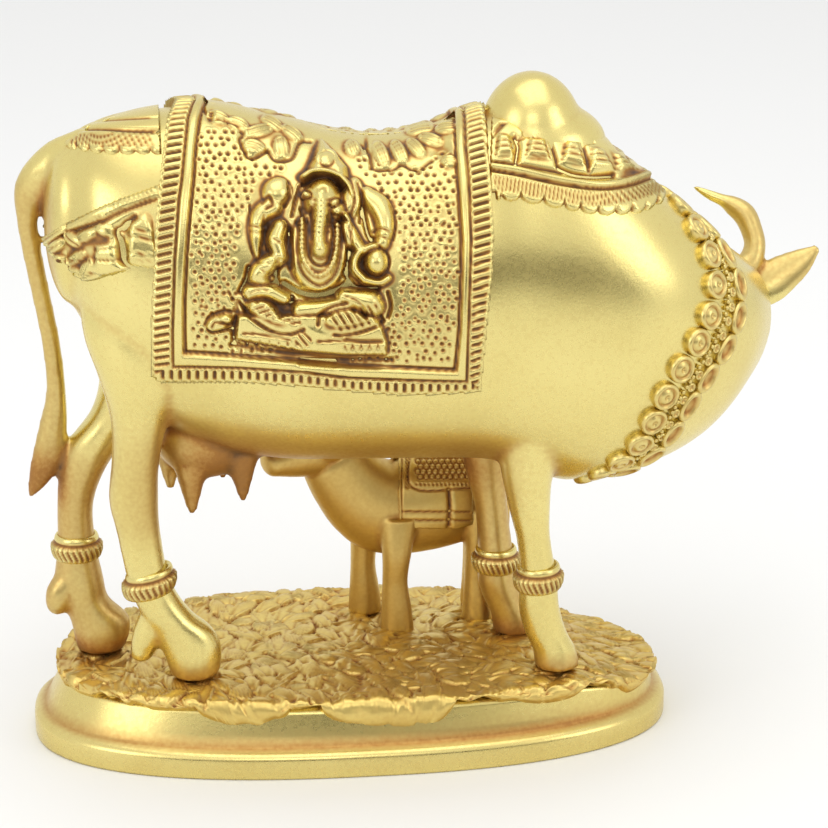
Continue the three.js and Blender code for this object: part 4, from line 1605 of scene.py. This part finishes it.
@dataclass
class Straps:
    """The straps over the rump and round the buttocks, and the drape below the hump, on both sides."""

    rump_corners: Rows = ((62, 138), (74, 140), (86, 142), (101, 144), (118, 145), (135, 145), (150, 145), (164, 145))
    fringe_corners: Rows = (
        (496, 190), (502, 191), (522, 192), (545, 196), (566, 200), (582, 203), (600, 206), (618, 206),
        (634, 204), (648, 202), (660, 194), (668, 190),
    )

    def rump(self, relief: Relief) -> np.ndarray:
        """Lays the fringe over the rump and the tasselled band round the buttocks.

        Args:
            relief: The relief to lay on.

        Returns:
            How deep each point lies inside the straps.
        """
        fringe = scalloped(self.rump_corners, 6)
        over = [*fringe, (170, 145), (172, 90), (40, 90), (40, 138)]
        band = ((30, 244), (52, 231), (75, 218), (100, 206), (125, 196), (160, 183), (162, 270), (130, 270),
                (100, 278), (76, 284), (60, 286), (40, 284))
        over_depth = inside_depth(relief.u, relief.v, np.asarray(over, float))
        band_depth = inside_depth(relief.u, relief.v, np.asarray(band, float))
        relief.height += np.where(over_depth > band_depth, 0.9, 1.1)
        relief.line(fringe, 1.3, 0.5)
        relief.hatch(((70, 133), (110, 131), (166, 131)), 13, -3.5, 3.6, 0.9, 0.45)
        relief.line(((60, 128), (95, 126), (130, 128), (170, 129)), 1.8, 0.9)
        relief.line(((80, 119), (120, 117), (160, 115)), 1.2, 0.4)
        self.band(relief)
        return np.maximum(over_depth, band_depth)

    def band(self, relief: Relief) -> None:
        """Lays the band's beaded edge, leaves and tassels."""
        upper = ((34, 245), (55, 232), (76, 219), (100, 207), (125, 198), (158, 186))
        lower = ((36, 256), (55, 241), (78, 229), (100, 222), (120, 212), (158, 198))
        relief.line(upper, 1.0, 0.5)
        relief.line(lower, 1.7, 0.9)
        relief.hatch(((40, 248), (70, 229), (104, 213)), 9, -4, 3.6, 0.8, 0.35)
        for u, v in along_path(((104, 213), (125, 203), (156, 193)), 4.4):
            relief.pit(u, v - 3, 1.3, 0.4)
            relief.pit(u + 2, v + 2, 1.3, 0.4)
        relief.plate(((128, 216), (146, 212), (152, 218), (160, 262), (126, 262)), 1.0, 1.1, 5)
        relief.plate(((94, 244), (114, 240), (120, 264), (118, 272), (92, 272)), 1.0, 1.1, 5)
        relief.dome(105, 268, 17, 7, 1.2, 0.9)
        for u, v, turn in ((56, 246, -30), (72, 240, 40), (86, 236, -25), (62, 262, 30), (76, 258, -35),
                           (54, 270, 5), (72, 272, 15), (86, 268, -60), (104, 230, 20)):
            relief.dome(u, v, 11, 6, 0.9, 1.3, turn)
            spin = math.radians(turn)
            ends = [(u + way * 8 * math.cos(spin), v + way * 8 * math.sin(spin)) for way in (-1, 1)]
            relief.line(ends, 0.9, 0.5)
        relief.lines(
            (
                ((130, 228), (142, 231), (158, 236)),
                ((128, 236), (142, 238), (158, 241)),
                ((127, 252), (142, 254), (158, 256)),
                ((94, 250), (106, 249), (117, 248)),
                ((93, 259), (106, 260), (119, 260)),
                ((132, 220), (145, 217), (150, 222)),
                ((48, 260), (62, 260), (90, 261)),
            ),
            1.0,
            0.5,
        )
        relief.line(((134, 218), (122, 227), (116, 232), (120, 246), (122, 260), (130, 268), (156, 271)), 3.2, 1.5)
        relief.line(((126, 224), (122, 240), (124, 256)), 3.0, 0.8)

    def drape(self, relief: Relief) -> np.ndarray:
        """Lays the drape's fans, bells, cords and fringe.

        Args:
            relief: The relief to lay on.

        Returns:
            How deep each point lies inside the drape.
        """
        fringe = scalloped(self.fringe_corners, 8)
        outline = [*fringe, (690, 180), (640, 90), (585, 90), (592, 122), (560, 118), (520, 114), (492, 110), (490, 190)]
        depth = inside_depth(relief.u, relief.v, np.asarray(outline, float))
        relief.height += 1.2
        relief.line(((492, 114), (520, 118), (560, 121), (600, 127)), 1.3, 0.7)
        for u, v, lean in ((503, 128, -14), (519, 128, 12), (533, 129, -12), (549, 130, 14), (566, 130, -12),
                           (580, 133, 12), (594, 134, -8), (609, 140, 12), (624, 148, 6)):
            for k in range(4):
                start = (u + 1.6 * k - 2, v - 6)
                relief.line([start, (start[0] + lean, v + 9)], 0.9, 0.45)
        bells = (
            ((497, 132), (510, 134), (516, 156), (494, 158)),
            ((529, 137), (545, 138), (552, 160), (524, 158)),
            ((566, 139), (579, 141), (588, 168), (560, 163)),
            ((591, 145), (604, 148), (618, 172), (588, 170)),
            ((612, 150), (624, 155), (642, 171), (618, 172)),
        )
        for bell in bells:
            relief.plate(bell, 1.2, 1.1, 5)
            (u1, v1), (u2, v2), (u3, v3), (u4, v4) = bell
            for share in (0.35, 0.6, 0.85):
                left = (u1 + (u4 - u1) * share + 1, v1 + (v4 - v1) * share)
                right = (u2 + (u3 - u2) * share - 1, v2 + (v3 - v2) * share)
                relief.line((left, right), 0.9, 0.4)
        relief.line(((516, 136), (519, 144), (518, 154), (517, 160)), 3.6, 1.3)
        relief.lines((((551, 140), (556, 156), (558, 164)), ((584, 143), (588, 158), (590, 170))), 1.8, 0.9)
        relief.line(((560, 167), (575, 173), (595, 175), (614, 174)), 2.6, 1.5)
        relief.strand(((490, 165, 3.4, 0.8), (520, 170, 3.4, 0.8), (560, 179, 3.4, 0.8), (600, 184, 3.4, 0.8),
                       (630, 180, 3.4, 0.8), (662, 168, 3.4, 0.8)), 1.2)
        relief.lines(
            (
                ((490, 161), (520, 164), (548, 169), (562, 172)),
                ((490, 169), (520, 174), (560, 183), (600, 188), (632, 184), (664, 172)),
            ),
            1.5,
            0.9,
        )
        relief.hatch(((494, 176), (520, 180), (560, 188), (600, 192), (632, 188), (672, 176)), 12, -1.5, 4.0, 0.9, 0.4)
        relief.line(fringe, 1.2, 0.45)
        return depth

    def build(self, dresser: Dresser) -> None:
        """Builds and dresses the four sheets."""
        for far in (False, True):
            side, grain = ("far", 0.42) if far else ("near", 0.32)
            rump = ReliefSheet(f"rump_straps_{side}", (-0.09, 0.16), (-2, 106), grain, far)
            drape = ReliefSheet(f"shoulder_drape_{side}", (0.52, 0.8), (-2, 64), grain, far)
            for piece in (rump.build(self.rump), drape.build(self.drape)):
                leave_lacquer(piece, 14, 0.22)
                dresser.dress(piece, Finish.COW, "cow")


def drawn_up(name: str, rings: Sequence[np.ndarray]) -> bpy.types.Object:
    """A disc that is extruded ring by ring to the given points, with a flat or pointed end.

    Args:
        name: The new object's name.
        rings: The rings' points in millimetres, all as many, in order round the axis.

    Returns:
        The closed piece.
    """
    sides = len(rings[0])
    deselect_all()
    bpy.ops.mesh.primitive_circle_add(vertices=sides, radius=MM, fill_type="NGON")
    piece = take_primitive(name)
    start = np.arctan2(*points_of(piece)[:, 1::-1].T) % (2 * math.pi)
    order = np.rint(start / (2 * math.pi) * sides).astype(int) % sides
    with editing(piece):
        for _ in rings[1:]:
            bpy.ops.mesh.extrude_region_move(TRANSFORM_OT_translate={"value": (0, 0, MM)})
    set_points(piece, np.vstack([ring[order] for ring in rings]))
    turn_out(piece)
    return piece


def turned(name: str, profile: Rows, sides: int) -> bpy.types.Object:
    """A round piece from a profile of radius and height, drawn up from its underside."""
    angle = np.arange(sides) * 2 * math.pi / sides
    circle = np.stack([np.cos(angle), np.sin(angle), np.zeros(sides)], -1)
    return drawn_up(name, [circle * radius + (0, 0, height) for radius, height in profile])


def placed_copy(
    pattern: bpy.types.Object, name: str, origin: np.ndarray, along: np.ndarray, out: np.ndarray, size: float = 1
) -> bpy.types.Object:
    """A copy with its own mesh, its X axis turned to along and its Z axis to out.

    Args:
        pattern: The piece that is modelled once, round the origin.
        name: The copy's name.
        origin: Where its origin comes, in millimetres.
        along: Direction of its X axis.
        out: Direction of its Z axis.
        size: Scale.

    Returns:
        The copy.
    """
    piece = bpy.data.objects.new(name, pattern.data.copy())
    bpy.context.scene.collection.objects.link(piece)
    up = unit(out)
    run = unit(along - up * (along @ up))
    turn = np.stack([run, np.cross(up, run), up], axis=1)
    set_points(piece, points_of(pattern) * size @ turn.T + origin)
    return piece


@dataclass
class Garland:
    """The garland of ringed discs round the neck, with a bead chain and a row of hollow petals."""

    places: Rows = (
        # degrees from the spine, share of the trunk
        (0, 0.797),
        (30, 0.810),
        (40, 0.826),
        (55, 0.829),
        (71, 0.820),
        (83, 0.807),
        (94, 0.791),
        (106, 0.782),
        (118, 0.781),
        (129, 0.780),
        (140, 0.768),
        (160, 0.752),
        (180, 0.745),
    )
    disc_radius: float = 3.6

    def loop(self, ahead: float, lift: float, count: int = 720) -> tuple[np.ndarray, np.ndarray]:
        """Points of the loop round the neck and the outward directions there.

        Args:
            ahead: Share of the trunk by which it lies nearer to the head.
            lift: Height over the skin.
            count: Number of points.

        Returns:
            The points and directions.
        """
        angle = np.linspace(-math.pi, math.pi, count, endpoint=False)
        share = column_at(self.places, np.abs(np.degrees(angle)), 1) + ahead
        share = sum(np.roll(share, k) for k in range(-14, 15)) / 29
        skin = TRUNK.skin(share, angle)
        around = np.roll(skin, -1, 0) - np.roll(skin, 1, 0)
        ahead_skin = TRUNK.skin(share + 0.005, angle) - TRUNK.skin(share - 0.005, angle)
        out = unit(np.cross(around, ahead_skin))
        return skin + out * lift, out

    def stops(self, points: np.ndarray, pitch: float) -> np.ndarray:
        """Numbers of loop points that are about a pitch apart, all round."""
        runs = np.linalg.norm(np.roll(points, -1, 0) - points, axis=1)
        reach = np.concatenate([[0], np.cumsum(runs)])
        count = round(reach[-1] / pitch)
        marks = (np.arange(count) + 0.5) * reach[-1] / count
        return np.searchsorted(reach, marks) % len(points)

    def disc(self) -> bpy.types.Object:
        """One disc: a raised rim, two rings and a boss."""
        r = self.disc_radius
        profile = (
            (r * 0.9, -1.6), (r, -1.0), (r, 0.5), (r * 0.96, 1.0), (r * 0.88, 1.25), (r * 0.78, 1.25),
            (r * 0.7, 0.95), (r * 0.64, 0.6), (r * 0.56, 0.75), (r * 0.46, 1.1), (r * 0.34, 1.3), (r * 0.24, 1.35),
            (r * 0.18, 1.1), (r * 0.1, 0.85), (0.02, 0.8),
        )
        return turned("garland_disc", profile, 24)

    def petal(self) -> bpy.types.Object:
        """One petal: a lozenge with a hollow."""
        angle = np.arange(20) * 2 * math.pi / 20
        outline = np.stack([np.cos(angle) * 4.3, np.sin(angle) * 2.7, np.zeros(20)], -1)
        steps = ((0.85, -1.6), (1.0, -0.8), (1.0, 0.5), (0.92, 0.95), (0.78, 1.05), (0.66, 0.75), (0.5, 0.1), (0.2, -0.2), (0.01, -0.25))
        return drawn_up("petal", [outline * size + (0, 0, height) for size, height in steps])

    def build(self, dresser: Dresser) -> None:
        """Models each shape once, sets its copies round the neck and dresses the rows."""
        bead = turned("bead", ((0.3, -0.6), (0.55, -0.2), (0.62, 0.3), (0.45, 0.7), (0.05, 0.85)), 8)
        ring = turned("ring_bead", ((0.9, -0.8), (1.25, -0.3), (1.3, 0.5), (1.0, 0.9), (0.7, 0.7), (0.5, 0.35), (0.05, 0.25)), 12)
        rows = (
            ("garland_discs", self.disc(), 0.0, 0.5, 7.3),
            ("garland_beads", bead, 0.023, 0.45, 1.45),
            ("garland_rings", ring, 0.031, 0.2, 3.65),
            ("garland_petals", self.petal(), 0.047, 0.5, 8.2),
        )
        for name, pattern, ahead, lift, pitch in rows:
            points, out = self.loop(ahead, lift)
            around = np.roll(points, -1, 0) - points
            copies = [
                placed_copy(pattern, name, points[i], around[i], out[i]) for i in self.stops(points, pitch)
            ]
            row = joined(name, copies)
            leave_lacquer(row, 3, 0.35, 0.1)
            dresser.dress(row, Finish.COW, "cow")
        for pattern in {row[1] for row in rows}:
            bpy.data.objects.remove(pattern)


@dataclass
class Anklet:
    """A ring round a leg: a thin upper collar and a thick band with slanted notches."""

    name: str
    middle: tuple[float, float, float]
    deep: float
    wide: float
    tilt: float = 0.0
    half: float = 3.3

    def build(self, dresser: Dresser) -> None:
        """Shapes the ring from a torus and dresses it."""
        deselect_all()
        bpy.ops.mesh.primitive_torus_add(
            major_segments=132, minor_segments=28, major_radius=2 * MM, minor_radius=MM
        )
        piece = take_primitive(self.name)
        x, y, z = points_of(piece).T
        round_leg = np.arctan2(y, x)
        swell = np.hypot(x, y) - 2
        height = z * self.half
        out = np.where(height > 1.2, 0.55, 1.0) * np.clip(swell, -1, 1)
        groove = 0.55 * np.exp(-(((height - 1.35) / 0.35) ** 2)) * (swell > 0)
        phase = np.abs((round_leg * 26 / (2 * math.pi) + height * 0.28) % 1 - 0.5)
        notch = 0.6 * smoothstep(phase, 0.22, 0.45) * (swell > 0) * smoothstep(1.1 - np.abs(height + 0.9), -0.9, -0.3)
        push = np.where(out > 0, out * 1.7, out * 2.2) - groove - notch
        cx, cy, cz = self.middle
        x = cx + np.cos(round_leg) * (self.deep - 1.4 + push)
        y = cy + np.sin(round_leg) * (self.wide - 1.4 + push)
        set_points(piece, np.stack([x, y, cz + height + (x - cx) * self.tilt], -1))
        turn_out(piece)
        leave_lacquer(piece, 5, 0.16)
        dresser.dress(piece, Finish.COW, "cow")


ANKLETS = (
    Anklet("anklet_fore_near", (44.9, -21, 43.5), 6.1, 6.2, 0.06),
    Anklet("anklet_fore_far", (37.7, 3, 39.5), 6.1, 6.2),
    Anklet("anklet_hind_near", (-51, -17, 44.9), 6.6, 6.4, 0.2),
    Anklet("anklet_hind_far", (-68.8, 3, 47.4), 6.3, 6.1),
)


# The calf


@dataclass
class Calf:
    """The calf, which stands beyond the cow's belly and reaches for the udder."""

    trunk: Form = field(
        default_factory=lambda: Form(
            (
                (37, 17.5, 53, 9.5, 6.5),
                (31, 17, 52, 12, 8),
                (21, 16, 50.7, 13, 9),
                (11, 15, 50.6, 13, 9.2),
                (5.5, 14, 53.4, 11.8, 8.8),
                (0.5, 12.5, 58.8, 10, 7.4),
                (-3.5, 11, 65, 8.6, 6),
            ),
            domes=(3, 3),
        )
    )
    hooves: Rows = ((12.5, 6.5), (5.5, 21), (34.5, 12.2), (35.5, 23))

    def forms(self) -> list[bpy.types.Object]:
        """Trunk, head, ears, legs and tail."""
        head = Form(
            ((-1, 12, 69, 6.6, 5), (-8, 10, 69, 7.8, 6), (-14, 7, 68.2, 6.2, 5.2), (-19.4, 4, 67.4, 4, 4)),
            domes=(2, 2.5),
        )
        tail = Form(
            (
                (38.5, 18.5, 60, 2.2, 2.2),
                (41.6, 19.4, 56, 1.7, 1.7),
                (42.2, 19.8, 48, 1.5, 1.5),
                (41.6, 19.8, 41, 1.9, 1.7),
                (41, 19.8, 36.5, 0.8, 0.8),
            )
        )
        parts = [
            self.trunk.model("calf_trunk", 48, 60),
            head.model("calf_head", 32, 40),
            tail.model("calf_tail", 16, 40),
            blob("calf_ear_near", (-4.6, 5.4, 69), (4, 1.6, 2.2), (0, 20, 14)),
            blob("calf_ear_far", (-1.4, 17.6, 70.2), (4, 1.6, 2.2), (0, 20, -40)),
        ]
        for x, y in self.hooves:
            rows = (
                (x + 0.5, y + (15 - y) * 0.25, 50, 5.5, 4.5),
                (x, y, 41, 3.9, 3.6),
                (x - 0.5, y, 33, 3.3, 3.2),
                (x - 0.2, y, 26, 3.9, 3.7),
                (x, y, 19.2, 4.5, 4.2),
            )
            parts.append(Form(rows, [DOWN] * len(rows)).model("calf_leg", 24, 40))
        return parts

    def cloth(self, relief: Relief) -> np.ndarray:
        """Lays the calf's cloth: a beaded border, a scaly patch and two lines at the hem.

        Args:
            relief: The relief to lay on.

        Returns:
            How deep each point lies inside the cloth.
        """
        outline = ((398, 430), (474, 430), (474, 531), (401, 530))
        relief.height += 0.9
        relief.lines((((412, 440), (413, 487), (472, 488)), ((402, 440), (403, 528))), 0.9, 0.4)
        for u, v in along_path(((407, 446), (408, 486)), 4.2):
            relief.ring(u, v, 1.5, 0.7, 0.4)
        for u, v in along_path(((415, 484), (470, 484.5)), 4.2):
            relief.pit(u, v, 1.3, 0.35)
        for row in range(6):
            for u in np.arange(418 + 3 * (row % 2), 470, 6):
                relief.ring(u, 448 + 5.6 * row, 2.7, 0.8, 0.4)
        relief.lines((((403, 512), (472, 513)), ((403, 521), (472, 522))), 0.9, 0.4)
        relief.line(((450, 490), (451, 508), (450, 529)), 2.2, 0.9)
        return inside_depth(relief.u, relief.v, np.asarray(outline, float))

    def build(self, dresser: Dresser) -> None:
        """Builds and dresses the calf and its cloth."""
        body = fused("calf_body", self.forms(), 0.55, 5)
        leave_lacquer(body, 10, 0.5, 0.12)
        dresser.dress(body, Finish.CALF, "calf")
        for far in (False, True):
            name = "calf_cloth_far" if far else "calf_cloth_near"
            sheet = ReliefSheet(name, (0.12, 0.52), (64, 182), 0.3, far, form=self.trunk)
            piece = sheet.build(self.cloth)
            leave_lacquer(piece, 12, 0.25, 0.05)
            dresser.dress(piece, Finish.CALF, "calf")


# The studio's floor and lights


@dataclass(frozen=True)
class Softbox:
    """A rectangular soft light that is aimed at the statue."""

    name: str
    place: tuple[float, float, float]
    size: tuple[float, float]
    power: float
    aim: tuple[float, float, float] = (0.015, -0.005, 0.085)

    def hang(self) -> None:
        """Puts the light in the scene."""
        data = bpy.data.lights.new(self.name, "AREA")
        data.shape = "RECTANGLE"
        data.size, data.size_y = self.size
        data.energy = self.power
        light = bpy.data.objects.new(self.name, data)
        bpy.context.scene.collection.objects.link(light)
        light.location = self.place
        light.rotation_euler = (Vector(self.aim) - Vector(self.place)).to_track_quat("-Z", "Y").to_euler()


@dataclass
class Studio:
    """A pale floor, soft lights and a pale room."""

    lights: tuple[Softbox, ...] = (
        Softbox("top", (0.05, -0.15, 1.1), (1.0, 1.0), 3.6),
        Softbox("left", (-0.95, -0.75, 0.6), (0.6, 0.7), 2.4),
        Softbox("right", (1.0, -0.7, 0.6), (0.5, 0.7), 2.0),
        Softbox("front", (-0.1, -1.3, 0.85), (0.5, 0.4), 1.2),
    )
    card: tuple[float, float, float] = (0.2, -1.5, 0.21)
    card_size: tuple[float, float] = (2.6, 0.4)

    def dark_card(self) -> None:
        """A dull card behind the camera, which the polished flanks mirror as a soft olive band."""
        deselect_all()
        bpy.ops.mesh.primitive_plane_add(size=2)
        card = take_primitive("card")
        across, up, _ = points_of(card).T
        (x, y, z), (wide, high) = np.array(self.card) / MM, self.card_size
        set_points(card, np.stack([x + across * wide / 2, 0 * up + y, z + up * high / 2], -1))
        sheet = ShaderSheet("dull_card")
        card.data.materials.append(
            sheet.finished({"Base Color": (0.1, 0.085, 0.05, 1.0), "Roughness": 0.8})
        )

    def build(self) -> None:
        """Builds the floor, the lights and the room."""
        deselect_all()
        bpy.ops.mesh.primitive_plane_add(size=6)
        floor = take_primitive("floor")
        sheet = ShaderSheet("pale_floor")
        floor.data.materials.append(
            sheet.finished({"Base Color": (0.86, 0.86, 0.85, 1.0), "Roughness": 0.7})
        )
        self.dark_card()
        world = bpy.data.worlds.new("room")
        world.use_nodes = True
        world.node_tree.nodes["Background"].inputs[0].default_value = (1, 1, 1, 1)
        world.node_tree.nodes["Background"].inputs[1].default_value = 0.92
        bpy.context.scene.world = world
        bpy.context.scene.view_settings.view_transform = "Standard"
        for light in self.lights:
            light.hang()


def corners(box: tuple[Vector, Vector]) -> list[list[float]]:
    """A box as plain lists."""
    return [list(corner) for corner in box]


def main() -> None:
    """Builds the statue in order."""
    logging.basicConfig(level=logging.INFO, format="%(message)s")
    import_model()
    VIEW.camera()
    dresser = Dresser()
    for assembly in (Mound(), CowBody(), CowHead(), CowCloth(), Straps(), Garland(), *ANKLETS, Calf()):
        assembly.build(dresser)
    Studio().build()


if __name__ == "__main__":
    main()
